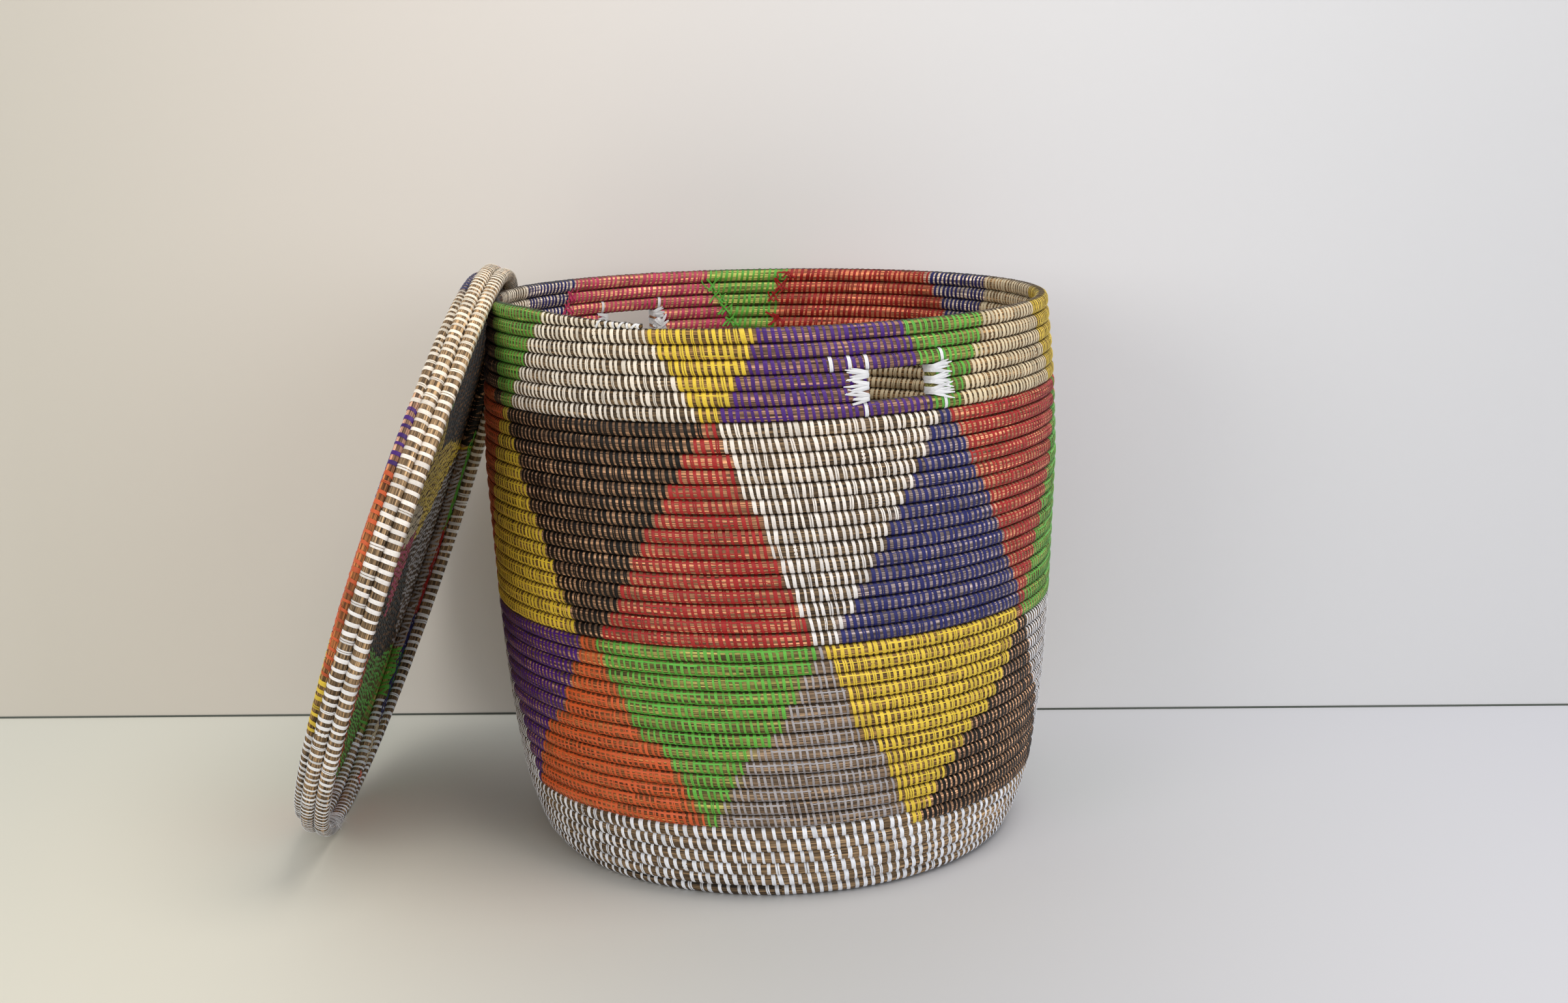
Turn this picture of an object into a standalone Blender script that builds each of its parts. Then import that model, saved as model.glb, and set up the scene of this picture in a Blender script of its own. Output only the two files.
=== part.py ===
"""Coiled grass basket with two hand holes, and its cap lid leaning against it.

The wall is one grass coil that climbs a course for every turn, from the rim of
the base to a thin end on the mouth. It is divided where the sewer changed the
band of colours and where the hand holes interrupt it. The frame stands on the
floor under the middle of the basket: +Z is up and -Y faces the viewer.
Lengths are in metres and angles in degrees.
"""
import math

import bmesh
import bpy
from mathutils import Color, Matrix, Vector
from mathutils.bvhtree import BVHTree

# Coil
COIL_PITCH = 0.01064
WALL_THICKNESS = 0.0104
GROOVE_DEPTH = 0.0024
BLUNT_END = 0.0003

# Gaps between pieces that touch
SEAM_GAP = 0.0006
SEAT_GAP = 0.0004

# Basket outline
FOOT_RADIUS = 0.1837
BELLY_RADIUS = 0.2243
RIM_RADIUS = 0.2175
BASE_THICKNESS = 0.0104

# Courses of the wall, counted at the front
FOOT_COURSES = 6
LOWER_COURSES = 13
MIDDLE_COURSES = 15
TOP_COURSES = 6
GRIP_COURSES = 2
RIM_COURSES = 3

# Angles seen from above, counter-clockwise from +X
FRONT = 270.0
COIL_END = 246.0
COLOUR_SEAM = 448.0
HAND_HOLES = (294.2, 484.8)
COIL_END_TAPER = 31.0
LONGEST_FACET = 17.0
TURN = 360.0

# Hand holes and the strips that bind the coil's ends there
HAND_HOLE_WIDTH = 0.0490
LASHING_THICKNESS = 0.0016
LASHING_REACH = 0.0200
LASHING_FAN = 0.0045
LASHING_STRANDS = 5

# Lid, which fits over the rim
LID_CLEARANCE = 0.0132
LID_RADIUS = RIM_RADIUS + LID_CLEARANCE + WALL_THICKNESS
LID_CROWN = 0.0060
LID_RIM_COURSES = 2
LID_FACETS = 26
LID_COIL_END = 189.0
LID_COIL_TAPER = 70.0
LID_TIE_ANGLE = 193.5
LID_TIE_REACH = 0.0160
LID_TIE_STRANDS = 3
LID_TIE_WIDTH = 0.0110

# How the lid leans on the basket
LID_LEAN = 20.2
LID_YAW = 0.7
LID_SIDE_STEP = 0.0105
LID_SEARCH_STEP = 0.0080
LID_SEARCH_HALVINGS = 12

# Share of the wall's slant length against share of the swell from foot to belly
SWELL_SHARES = (
    (0.0, 0.0), (0.033, 0.185), (0.078, 0.350), (0.139, 0.522), (0.223, 0.660),
    (0.317, 0.773), (0.435, 0.862), (0.576, 0.933), (0.717, 1.0))
# The same above the belly, against the share of the draw in to the rim
DRAW_IN_SHARES = ((0.717, 0.0), (0.858, 0.265), (1.0, 1.0), (1.03, 1.165))
# The last of the wall's slant length over which the foot leans out from upright
FOOT_TURN_SHARE = 0.04
PROFILE_STEPS = 400
# What is left of the coil at its thin end
COIL_END_SHARE = 0.2
# Points closer than this share of a blunt end are one
WELD_SHARE = 0.1
# Valley between two strands against their thickness
STRAND_VALLEY_SHARE = 0.45

WALL_COURSES = FOOT_COURSES + LOWER_COURSES + MIDDLE_COURSES + TOP_COURSES
WALL_SLANT = WALL_COURSES * COIL_PITCH
LID_DEPTH = (LID_RIM_COURSES + 1) * COIL_PITCH

# Strip colours as the eye sees them, red, green and blue
COLOURS = {
    "white": (0.86, 0.84, 0.82), "cream": (0.84, 0.76, 0.62), "grey": (0.58, 0.55, 0.57),
    "green": (0.40, 0.74, 0.22), "yellow": (0.86, 0.76, 0.22), "purple": (0.34, 0.20, 0.56),
    "black": (0.20, 0.16, 0.13), "red": (0.72, 0.22, 0.18), "navy": (0.17, 0.19, 0.44),
    "orange": (0.84, 0.38, 0.18), "pink": (0.74, 0.28, 0.40)}
STRIP_ROUGHNESS = 0.45
# Edges bent more than this stay crisp
CRISP_ANGLE = 60.0

# Triangles of the two patterned bands, in order round the basket
MIDDLE_ORIGIN = 302.5
MIDDLE_DOWN = ("red", "orange", "cream", "navy", "yellow", "red", "black", "white")
MIDDLE_UP = ("navy", "green", "purple", "black", "green", "white", "yellow", "red")
LOWER_ORIGIN = 322.0
LOWER_DOWN = ("white", "purple", "orange", "green", "black", "purple", "green", "yellow")
LOWER_UP = ("black", "green", "yellow", "navy", "red", "white", "orange", "grey")
# Stretches of the top band: the angle at which each begins, and its colour
TOP_STRETCHES = (
    (5.0, "cream"), (29.0, "navy"), (48.0, "red"), (84.0, "green"), (105.0, "pink"),
    (141.0, "navy"), (165.0, "cream"), (195.0, "green"), (222.0, "white"), (248.0, "yellow"),
    (265.0, "purple"), (298.0, "green"), (310.0, "cream"), (333.0, "yellow"))


def clear_scene():
    for item in list(bpy.data.objects):
        bpy.data.objects.remove(item, do_unlink=True)


def smooth_curve(table, x):
    """Value at x of a smooth curve through the table's points."""
    last = len(table) - 1
    k = 0
    while k < last - 1 and x > table[k + 1][0]:
        k += 1

    def slope(n):
        before = table[max(n - 1, 0)]
        after = table[min(n + 1, last)]
        return (after[1] - before[1]) / (after[0] - before[0])

    (x0, y0), (x1, y1) = table[k], table[k + 1]
    span = x1 - x0
    t = (x - x0) / span
    return ((2 * t ** 3 - 3 * t ** 2 + 1) * y0 + (t ** 3 - 2 * t ** 2 + t) * span * slope(k)
            + (3 * t ** 2 - 2 * t ** 3) * y1 + (t ** 3 - t ** 2) * span * slope(k + 1))


def wall_radius(share):
    """Outer radius of the wall at a share of its slant length."""
    belly_share = SWELL_SHARES[-1][0]
    if share < belly_share:
        swell = smooth_curve(SWELL_SHARES, share)
        return FOOT_RADIUS + swell * (BELLY_RADIUS - FOOT_RADIUS)
    return BELLY_RADIUS - smooth_curve(DRAW_IN_SHARES, share) * (BELLY_RADIUS - RIM_RADIUS)


def wall_profile():
    """Radius and height at equal steps up the wall's slant, one course past the rim."""
    step = (WALL_SLANT + COIL_PITCH) / PROFILE_STEPS
    radii = [wall_radius(n * step / WALL_SLANT) for n in range(PROFILE_STEPS + 1)]
    heights = [0.0]
    for low, high in zip(radii, radii[1:]):
        heights.append(heights[-1] + math.sqrt(max(step ** 2 - (high - low) ** 2, 0.0)))
    return step, radii, heights


PROFILE_STEP, PROFILE_RADII, PROFILE_HEIGHTS = wall_profile()


def wall_section(slant, depth):
    """Radius and height of a point that lies depth behind the wall's outer face."""
    place = min(max(slant / PROFILE_STEP, 0.0), PROFILE_STEPS - 1.0)
    k = int(place)
    part = place - k
    grow = (PROFILE_RADII[k + 1] - PROFILE_RADII[k]) / PROFILE_STEP
    rise = (PROFILE_HEIGHTS[k + 1] - PROFILE_HEIGHTS[k]) / PROFILE_STEP
    radius = PROFILE_RADII[k] + part * PROFILE_STEP * grow
    height = PROFILE_HEIGHTS[k] + part * PROFILE_STEP * rise
    # At the floor the wall's faces are level, so that it stands flat
    lean = min(1.0, slant / (FOOT_TURN_SHARE * WALL_SLANT))
    inward = Vector((-rise * lean - (1.0 - lean), grow * lean)).normalized()
    return radius + inward.x * depth, height + inward.y * depth


def turned(radius, angle, height):
    return Vector((radius * math.cos(math.radians(angle)),
                   radius * math.sin(math.radians(angle)), height))


def wall_point(slant, angle, depth):
    radius, height = wall_section(slant, depth)
    return turned(radius, angle, height)


def base_point(reach, angle, depth):
    """A point of the base, whose edge leans out like the inside of the wall it meets."""
    height = BASE_THICKNESS - depth
    inside = wall_section(0.0, WALL_THICKNESS)
    above = wall_section(COIL_PITCH, WALL_THICKNESS)
    spread = height * (above[0] - inside[0]) / (above[1] - inside[1])
    return turned(reach * (1.0 + spread / base_radius()), angle, height)


def lid_top_point(reach, angle, depth):
    """A point under the lid's crowned top, in the lid's own frame."""
    crown = LID_CROWN * (1.0 - (reach / LID_RADIUS) ** 2)
    return turned(reach, angle, LID_DEPTH + crown - depth)


def lid_rim_point(drop, angle, depth):
    """A point behind the outer face of the lid's rim, in the lid's own frame."""
    return turned(LID_RADIUS - depth, angle, LID_DEPTH - COIL_PITCH - SEAM_GAP - drop)


def hole_half_angle():
    return math.degrees(HAND_HOLE_WIDTH / RIM_RADIUS) / 2


def wall_stations():
    """Angles of the facets' edges in one turn, which meet each hand hole's sides."""
    half = hole_half_angle()
    breaks = [COIL_END, COLOUR_SEAM, COIL_END + TURN]
    for middle in HAND_HOLES:
        breaks += [middle - half, middle + half]
    breaks.sort()
    angles = []
    for begin, end in zip(breaks, breaks[1:]):
        count = math.ceil((end - begin) / LONGEST_FACET)
        angles += [begin + (end - begin) * n / count for n in range(count)]
    return angles


WALL_STATIONS = wall_stations()
LID_STATIONS = [LID_COIL_END + TURN * n / LID_FACETS for n in range(LID_FACETS)]


class Coil:
    """A stretch of coil: facets counted along the turns, between grooves."""

    def __init__(self, stations, groove, point, thickness, limits, inner_groove=0.0,
                 round_edge=False, centred=False):
        self.stations = stations
        self.turn = len(stations)
        self.groove = groove
        self.point = point
        self.thickness = thickness
        self.limits = limits
        self.inner_groove = inner_groove
        self.round_edge = round_edge
        self.centred = centred

    def angle(self, n):
        return self.stations[n % self.turn] + TURN * (n // self.turn)

    def thick_enough(self, n):
        if self.centred and n < 0:
            return True
        return all(self.groove(k + self.turn) - self.groove(k) >= BLUNT_END for k in (n, n + 1))

    def build(self, name, cells, colour_of):
        cells = {n for n in cells if self.thick_enough(n)}
        turn = self.turn
        mesh = bmesh.new()
        made = {}
        palette = []

        def at_gap(n, up_right, up_left, down_right, down_left):
            """How far a corner draws back from its neighbours, along and across the coil."""
            across = along = 0.0
            level = self.groove(n)
            if self.limits[0] < level < self.limits[1]:
                if not (up_right or up_left) and (down_right or down_left):
                    across = -SEAM_GAP / 2
                elif not (down_right or down_left) and (up_right or up_left):
                    across = SEAM_GAP / 2
            if not (up_right or down_right):
                along = -SEAM_GAP / 2
            elif not (up_left or down_left):
                along = SEAM_GAP / 2
            return across, along

        def spot(key, where):
            if key not in made:
                made[key] = mesh.verts.new(where)
            return made[key]

        def stepped(level, n, along, depth):
            """The point at a corner that is moved along the coil by a length."""
            middle = self.point(level, self.angle(n), depth)
            radius = max(math.hypot(middle.x, middle.y), COIL_PITCH)
            return self.point(level, self.angle(n) + math.degrees(along / radius), depth)

        def groove_spot(n, inner):
            across, along = at_gap(n, n in cells, n - 1 in cells,
                                   n - turn in cells, n - turn - 1 in cells)
            depth = self.thickness - self.inner_groove if inner else GROOVE_DEPTH
            return spot(("inner" if inner else "outer", n),
                        stepped(self.groove(n) + across, n, along, depth))

        def crest_spot(n, inner):
            low, high = self.groove(n), self.groove(n + turn)
            thin = GROOVE_DEPTH * (1.0 - min(1.0, (high - low) / COIL_PITCH))
            along = 0.0
            if n not in cells:
                along = -SEAM_GAP / 2
            elif n - 1 not in cells:
                along = SEAM_GAP / 2
            depth = self.thickness - thin if inner else thin
            return spot(("back" if inner else "crest", n),
                        stepped((low + high) / 2, n, along, depth))

        def bare(n):
            return n in cells and n + turn not in cells

        def edge_spot(n):
            """The top of the coil's round edge at corner n, where it has one."""
            left, right = n - turn - 1, n - turn
            covered = any(k in cells and not bare(k) for k in (left, right))
            if not self.round_edge or covered:
                return None
            swell = min(GROOVE_DEPTH, self.groove(n) - self.groove(n - turn))
            along = 0.0
            if not bare(right):
                along = -SEAM_GAP / 2
            elif not bare(left):
                along = SEAM_GAP / 2
            return spot(("edge", n), stepped(self.groove(n) + swell, n, along, self.thickness / 2))

        def face(corners, colour):
            corners = [c for c in corners if c is not None]
            if colour not in palette:
                palette.append(colour)
            mesh.faces.new(corners).material_index = palette.index(colour)

        def cap(n, colour):
            high = n + turn
            back = crest_spot(n, True) if self.inner_groove else None
            face([groove_spot(n, False), crest_spot(n, False), groove_spot(high, False),
                  cap_edge(n), groove_spot(high, True), back, groove_spot(n, True)], colour)

        def cap_edge(n):
            own = n if n in cells else n - 1
            return edge_spot(n + turn) if bare(own) else None

        for n in sorted(cells):
            colour = colour_of(n)
            low, high = (n, n + 1), (n + turn, n + turn + 1)
            crest = [crest_spot(k, False) for k in low]
            outer_low = [groove_spot(k, False) for k in low]
            outer_high = [groove_spot(k, False) for k in high]
            inner_low = [groove_spot(k, True) for k in low]
            inner_high = [groove_spot(k, True) for k in high]
            face([outer_low[0], outer_low[1], crest[1], crest[0]], colour)
            face([crest[0], crest[1], outer_high[1], outer_high[0]], colour)
            if self.inner_groove:
                back = [crest_spot(k, True) for k in low]
                face([inner_low[1], inner_low[0], back[0], back[1]], colour)
                face([back[1], back[0], inner_high[0], inner_high[1]], colour)
            else:
                face([inner_low[1], inner_low[0], inner_high[0], inner_high[1]], colour)
            if n - turn not in cells:
                face([outer_low[1], outer_low[0], inner_low[0], inner_low[1]], colour)
            if bare(n):
                edge = [edge_spot(k) for k in high]
                if edge[0] is None and edge[1] is None:
                    face([outer_high[0], outer_high[1], inner_high[1], inner_high[0]], colour)
                else:
                    face([outer_high[0], outer_high[1], edge[1], edge[0]], colour)
                    face([edge[0], edge[1], inner_high[1], inner_high[0]], colour)
                    if edge[0] is None:
                        face([outer_high[0], edge[1], inner_high[0]], colour)
                    if edge[1] is None:
                        face([edge[0], outer_high[1], inner_high[1]], colour)
            if n - 1 not in cells:
                cap(n, colour)
            if n + 1 not in cells:
                cap(n + 1, colour)
        bmesh.ops.remove_doubles(mesh, verts=mesh.verts, dist=BLUNT_END * WELD_SHARE)
        loose = [edge for edge in mesh.edges if not edge.link_faces]
        bmesh.ops.delete(mesh, geom=loose, context="EDGES")
        return finish_mesh(name, mesh, palette)


def strip_material(colour):
    """The material of one strip colour, shared by the pieces that have it."""
    name = "strip_" + colour
    if name not in bpy.data.materials:
        linear = Color(COLOURS[colour]).from_srgb_to_scene_linear()
        material = bpy.data.materials.new(name)
        material.use_nodes = True
        shader = material.node_tree.nodes["Principled BSDF"]
        shader.inputs["Base Color"].default_value = (*linear, 1.0)
        shader.inputs["Roughness"].default_value = STRIP_ROUGHNESS
        shader.inputs["Metallic"].default_value = 0.0
        material.diffuse_color = (*linear, 1.0)
    return bpy.data.materials[name]


def finish_mesh(name, mesh, palette):
    bmesh.ops.recalc_face_normals(mesh, faces=mesh.faces)
    data = bpy.data.meshes.new(name)
    mesh.to_mesh(data)
    mesh.free()
    for colour in palette:
        data.materials.append(strip_material(colour))
    data.shade_smooth()
    data.set_sharp_from_angle(angle=math.radians(CRISP_ANGLE))
    item = bpy.data.objects.new(name, data)
    bpy.context.collection.objects.link(item)
    return item


def coil_turns(n):
    """Turns from the start of the wall to corner n, counted from the front."""
    turn = len(WALL_STATIONS)
    return n // turn + (WALL_STATIONS[n % turn] - FRONT) / TURN


def wall_groove(n):
    """Slant height of the groove under corner n, and of the mouth above the last turn."""
    level = COIL_PITCH * coil_turns(n)
    past = n - WALL_COURSES * len(WALL_STATIONS)
    if past >= 0:
        left = COIL_END + TURN - WALL_STATIONS[n % len(WALL_STATIONS)]
        if past >= len(WALL_STATIONS):
            left = 0.0
        taper = max(0.0, 1.0 - left / COIL_END_TAPER)
        level -= COIL_PITCH * taper * (1.0 - COIL_END_SHARE) + GROOVE_DEPTH * (1.0 - taper)
    return max(level, 0.0)


def base_radius():
    return FOOT_RADIUS - WALL_THICKNESS - SEAM_GAP


def base_groove(n):
    turn = len(WALL_STATIONS)
    reach = COIL_PITCH * (n // turn + (WALL_STATIONS[n % turn] - COIL_END) / TURN)
    return min(max(reach, 0.0), base_radius())


def lid_top_groove(n):
    return min(max(COIL_PITCH * n / LID_FACETS, 0.0), LID_RADIUS - GROOVE_DEPTH)


def lid_rim_groove(n):
    """Drop of the groove at corner n: the coil steps down a course just before its end."""
    share = (n % LID_FACETS) / LID_FACETS
    step = max(0.0, 1.0 - (1.0 - share) * TURN / LID_COIL_TAPER)
    step = step * step * (3.0 - 2.0 * step)
    drop = COIL_PITCH * (n // LID_FACETS + step)
    return min(max(drop, 0.0), LID_RIM_COURSES * COIL_PITCH - SEAM_GAP - GROOVE_DEPTH)


def triangle_colour(angle, row_share, origin, points_down, points_up):
    """Colour in a band of alternate triangles: row_share runs from its top to its foot."""
    place = ((angle - origin) % TURN) / TURN * len(points_down)
    k = int(place)
    part = place - k
    if abs(part - 0.5) * 2 < 1.0 - row_share:
        return points_down[k]
    return points_up[(k + round(part)) % len(points_up)]


def wall_colour(n):
    turn = len(WALL_STATIONS)
    angle = (WALL_STATIONS[n % turn] + WALL_STATIONS[(n + 1) % turn]) / 2
    if (n + 1) % turn == 0:
        angle = (WALL_STATIONS[-1] + COIL_END + TURN) / 2
    # Rows are counted from the colour seam, where each band of colours begins
    course = (n + turn - WALL_STATIONS.index(COLOUR_SEAM)) // turn
    if course < FOOT_COURSES:
        return "white"
    course -= FOOT_COURSES
    if course < LOWER_COURSES:
        share = 1.0 - (course + 0.5) / LOWER_COURSES
        return triangle_colour(angle, share, LOWER_ORIGIN, LOWER_DOWN, LOWER_UP)
    course -= LOWER_COURSES
    if course < MIDDLE_COURSES:
        share = 1.0 - (course + 0.5) / MIDDLE_COURSES
        return triangle_colour(angle, share, MIDDLE_ORIGIN, MIDDLE_DOWN, MIDDLE_UP)
    colour = TOP_STRETCHES[-1][1]
    for begin, stretch in TOP_STRETCHES:
        if angle % TURN >= begin:
            colour = stretch
    return colour


def build_wall():
    turn = len(WALL_STATIONS)
    seam = WALL_STATIONS.index(COLOUR_SEAM)
    plain = Coil(WALL_STATIONS, wall_groove, wall_point, WALL_THICKNESS,
                 limits=(0.0, coil_mouth()))
    fine = Coil(WALL_STATIONS, wall_groove, wall_point, WALL_THICKNESS,
                limits=(0.0, coil_mouth()), inner_groove=GROOVE_DEPTH)
    mouth = Coil(WALL_STATIONS, wall_groove, wall_point, WALL_THICKNESS,
                 limits=(0.0, coil_mouth()), inner_groove=GROOVE_DEPTH, round_edge=True)
    courses = [FOOT_COURSES, LOWER_COURSES, MIDDLE_COURSES]
    names = ["foot_courses", "lower_band_courses", "middle_band_courses"]
    begin = -turn
    end = -turn + seam
    for name, count, coil in zip(names, courses, (plain, fine, fine)):
        end += count * turn
        coil.build(name, range(begin, end), wall_colour)
        begin = end
    rim_begin = (WALL_COURSES - RIM_COURSES) * turn
    hole_begin = rim_begin - GRIP_COURSES * turn
    fine.build("hand_hole_sill_course", range(begin, hole_begin), wall_colour)
    build_hand_hole_courses(fine, hole_begin, rim_begin)
    mouth.build("rim_courses", range(rim_begin, WALL_COURSES * turn), wall_colour)


def coil_mouth():
    """Slant height that only the mouth's own edge reaches."""
    turn = len(WALL_STATIONS)
    top = range(WALL_COURSES * turn, (WALL_COURSES + 1) * turn + 1)
    return min(wall_groove(n) for n in top)


def build_hand_hole_courses(coil, begin, end):
    """The courses beside the hand holes, in a front-right and a back-left stretch."""
    turn = len(WALL_STATIONS)
    half = hole_half_angle()
    front, back = [(WALL_STATIONS.index(middle - half), WALL_STATIONS.index(middle + half))
                   for middle in HAND_HOLES]
    right = [n for n in range(begin, end) if front[1] <= n % turn < back[0]]
    left = [n for n in range(begin, end) if n % turn < front[0] or n % turn >= back[1]]
    coil.build("hand_hole_courses_right", right, wall_colour)
    coil.build("hand_hole_courses_left", left, wall_colour)


def build_base():
    turn = len(WALL_STATIONS)
    turns = math.ceil(base_radius() / COIL_PITCH)
    coil = Coil(WALL_STATIONS, base_groove, base_point, BASE_THICKNESS,
                limits=(0.0, base_radius()), centred=True)
    coil.build("base_coil", range(-turn, turns * turn), lambda n: "white")


def facet_point(slant, angle, depth):
    """A point behind the flat facet that spans an angle, not behind the true circle."""
    local = (angle - COIL_END) % TURN + COIL_END
    edges = WALL_STATIONS + [COIL_END + TURN]
    k = max(n for n in range(len(WALL_STATIONS)) if edges[n] <= local)
    low = wall_point(slant, edges[k], depth)
    high = wall_point(slant, edges[k + 1], depth)
    return low.lerp(high, (local - edges[k]) / (edges[k + 1] - edges[k]))


def strand_sheet(name, levels, path, colour):
    """A binding of strands: path(level, thickness) gives its bends at one level."""
    mesh = bmesh.new()
    skins = []
    for thick in (False, True):
        rows = []
        for k, level in enumerate(levels):
            share = (1.0 if k % 2 else STRAND_VALLEY_SHARE) if thick else 0.0
            rows.append([mesh.verts.new(p) for p in path(level, share * LASHING_THICKNESS)])
        skins.append(rows)
    under, over = skins
    count = len(under[0])
    for k in range(len(levels) - 1):
        for m in range(count - 1):
            mesh.faces.new([under[k][m], under[k + 1][m], under[k + 1][m + 1], under[k][m + 1]])
            mesh.faces.new([over[k][m], over[k][m + 1], over[k + 1][m + 1], over[k + 1][m]])
        for m in (0, count - 1):
            mesh.faces.new([under[k][m], over[k][m], over[k + 1][m], under[k + 1][m]])
    for k in (0, len(levels) - 1):
        for m in range(count - 1):
            mesh.faces.new([under[k][m], under[k][m + 1], over[k][m + 1], over[k][m]])
    return finish_mesh(name, mesh, [colour])


def build_lashing(name, edge, side, turns):
    """Strips bound round the coil's ends at one side of a hand hole.

    side is +1 where the coil lies at greater angles than the hole's edge, else -1.
    turns is the turn count of the lower course at that edge.
    """
    reach = math.degrees(LASHING_REACH / RIM_RADIUS)
    low = COIL_PITCH * turns + SEAM_GAP
    high = COIL_PITCH * (turns + GRIP_COURSES) - SEAM_GAP
    steps = 2 * LASHING_STRANDS
    levels = [k / steps for k in range(steps + 1)]

    def path(level, thickness):
        lift = SEAT_GAP + thickness
        middle = low + (high - low) * level
        fan = middle + LASHING_FAN * (2 * level - 1.0)
        end = math.degrees(lift / RIM_RADIUS)
        bends = []
        for share, slant in ((1.0, fan), (0.5, (middle + fan) / 2), (0.0, middle)):
            angle = edge + side * (reach * share if share else -end)
            bends.append((slant, angle, -lift))
        for share, slant in ((0.0, middle), (0.5, (middle + fan) / 2), (1.0, fan)):
            angle = edge + side * (reach * share if share else -end)
            bends.append((slant, angle, WALL_THICKNESS + lift))
        return [facet_point(s, a, d) for s, a, d in bends]

    return strand_sheet(name, levels, path, "white")


def build_lashings():
    half = hole_half_angle()
    begin = WALL_COURSES - RIM_COURSES - GRIP_COURSES
    for place, middle in zip(("front", "back"), HAND_HOLES):
        for label, side in (("first", -1), ("second", 1)):
            edge = middle + side * half
            turns = begin + (edge - FRONT) / TURN
            build_lashing(f"hand_hole_lashing_{place}_{label}", edge, side, turns)


def build_lid(frame):
    """The lid's pieces in its own frame: its top is up and its open side down."""
    top = Coil(LID_STATIONS, lid_top_groove, lid_top_point, COIL_PITCH,
               limits=(0.0, LID_RADIUS - GROOVE_DEPTH), round_edge=True, centred=True)
    turns = math.ceil(LID_RADIUS / COIL_PITCH)
    colours = ("white", "green", "yellow", "red", "navy", "orange", "purple", "cream")

    def top_colour(n):
        angle = (LID_STATIONS[n % LID_FACETS] + TURN / LID_FACETS / 2) % TURN
        return colours[int(angle / TURN * len(colours))]

    disc = top.build("lid_disc_coil", range(-LID_FACETS, turns * LID_FACETS), top_colour)
    rim = Coil(LID_STATIONS, lid_rim_groove, lid_rim_point, WALL_THICKNESS,
               limits=(0.0, LID_RIM_COURSES * COIL_PITCH - SEAM_GAP - GROOVE_DEPTH),
               round_edge=True)
    cells = range(-LID_FACETS, LID_RIM_COURSES * LID_FACETS)
    ring = rim.build("lid_rim_courses", cells, lambda n: "white")
    tie = build_lid_tie()
    for item in (disc, ring, tie):
        item.parent = frame
    return disc, ring, tie


def build_lid_tie():
    """The strip ends tied over the edge of the lid's rim, where its coil ends."""
    steps = 2 * LID_TIE_STRANDS
    levels = [k / steps for k in range(steps + 1)]
    across = math.degrees(LID_TIE_WIDTH / LID_RADIUS)
    edge = LID_RIM_COURSES * COIL_PITCH - SEAM_GAP

    def path(level, thickness):
        lift = SEAT_GAP + thickness
        angle = LID_TIE_ANGLE + across * level
        slack = LID_RADIUS * (1.0 - math.cos(math.radians(TURN / LID_FACETS / 2)))
        inside = WALL_THICKNESS + slack + lift
        bends = [(edge - LID_TIE_REACH, -lift), (edge - GROOVE_DEPTH, -lift),
                 (edge + lift, GROOVE_DEPTH), (edge + lift, WALL_THICKNESS - GROOVE_DEPTH),
                 (edge - GROOVE_DEPTH, inside), (edge - LID_TIE_REACH, inside)]
        return [lid_rim_point(drop, angle, depth) for drop, depth in bends]

    return strand_sheet("lid_end_tie", levels, path, "white")


def surface_tree(items, matrix):
    """A search tree of the items' faces once they are moved by a matrix."""
    points = []
    faces = []
    for item in items:
        first = len(points)
        points += [matrix @ v.co for v in item.data.vertices]
        faces += [[first + k for k in p.vertices] for p in item.data.polygons]
    return BVHTree.FromPolygons(points, faces), min(p.z for p in points)


def lean_lid(frame, lid, basket):
    """Stand the lid on the floor and push it towards the basket until it touches."""
    lean, yaw = math.radians(LID_LEAN), math.radians(LID_YAW)
    outward = Vector((-math.cos(lean) * math.cos(yaw), -math.cos(lean) * math.sin(yaw),
                      math.sin(lean)))
    upward = (Vector((0, 0, 1)) - outward * outward.z).normalized()
    rotation = Matrix((upward, outward.cross(upward), outward)).transposed().to_4x4()
    floor = surface_tree(lid, rotation)[1]
    fixed = surface_tree(basket, Matrix.Identity(4))[0]

    def placed(x):
        return Matrix.Translation((x, LID_SIDE_STEP, -floor)) @ rotation

    def touches(x):
        return bool(surface_tree(lid, placed(x))[0].overlap(fixed))

    near = -BELLY_RADIUS - LID_RADIUS
    while not touches(near):
        near += LID_SEARCH_STEP
    clear = near - LID_SEARCH_STEP
    for _ in range(LID_SEARCH_HALVINGS):
        middle = (clear + near) / 2
        if touches(middle):
            near = middle
        else:
            clear = middle
    frame.matrix_world = placed(clear - SEAT_GAP / math.cos(lean))


def main():
    clear_scene()
    build_base()
    build_wall()
    build_lashings()
    basket = list(bpy.context.collection.objects)
    frame = bpy.data.objects.new("lid_frame", None)
    bpy.context.collection.objects.link(frame)
    lid = build_lid(frame)
    lean_lid(frame, lid, basket)


main()
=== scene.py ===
"""Looks of a coiled grass basket and its cap lid: one grass core wound in a spiral,
sewn over with bent plastic strip, stitch by stitch.
"""
import math

import bpy
import numpy as np
from mathutils import Matrix, Vector


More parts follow.
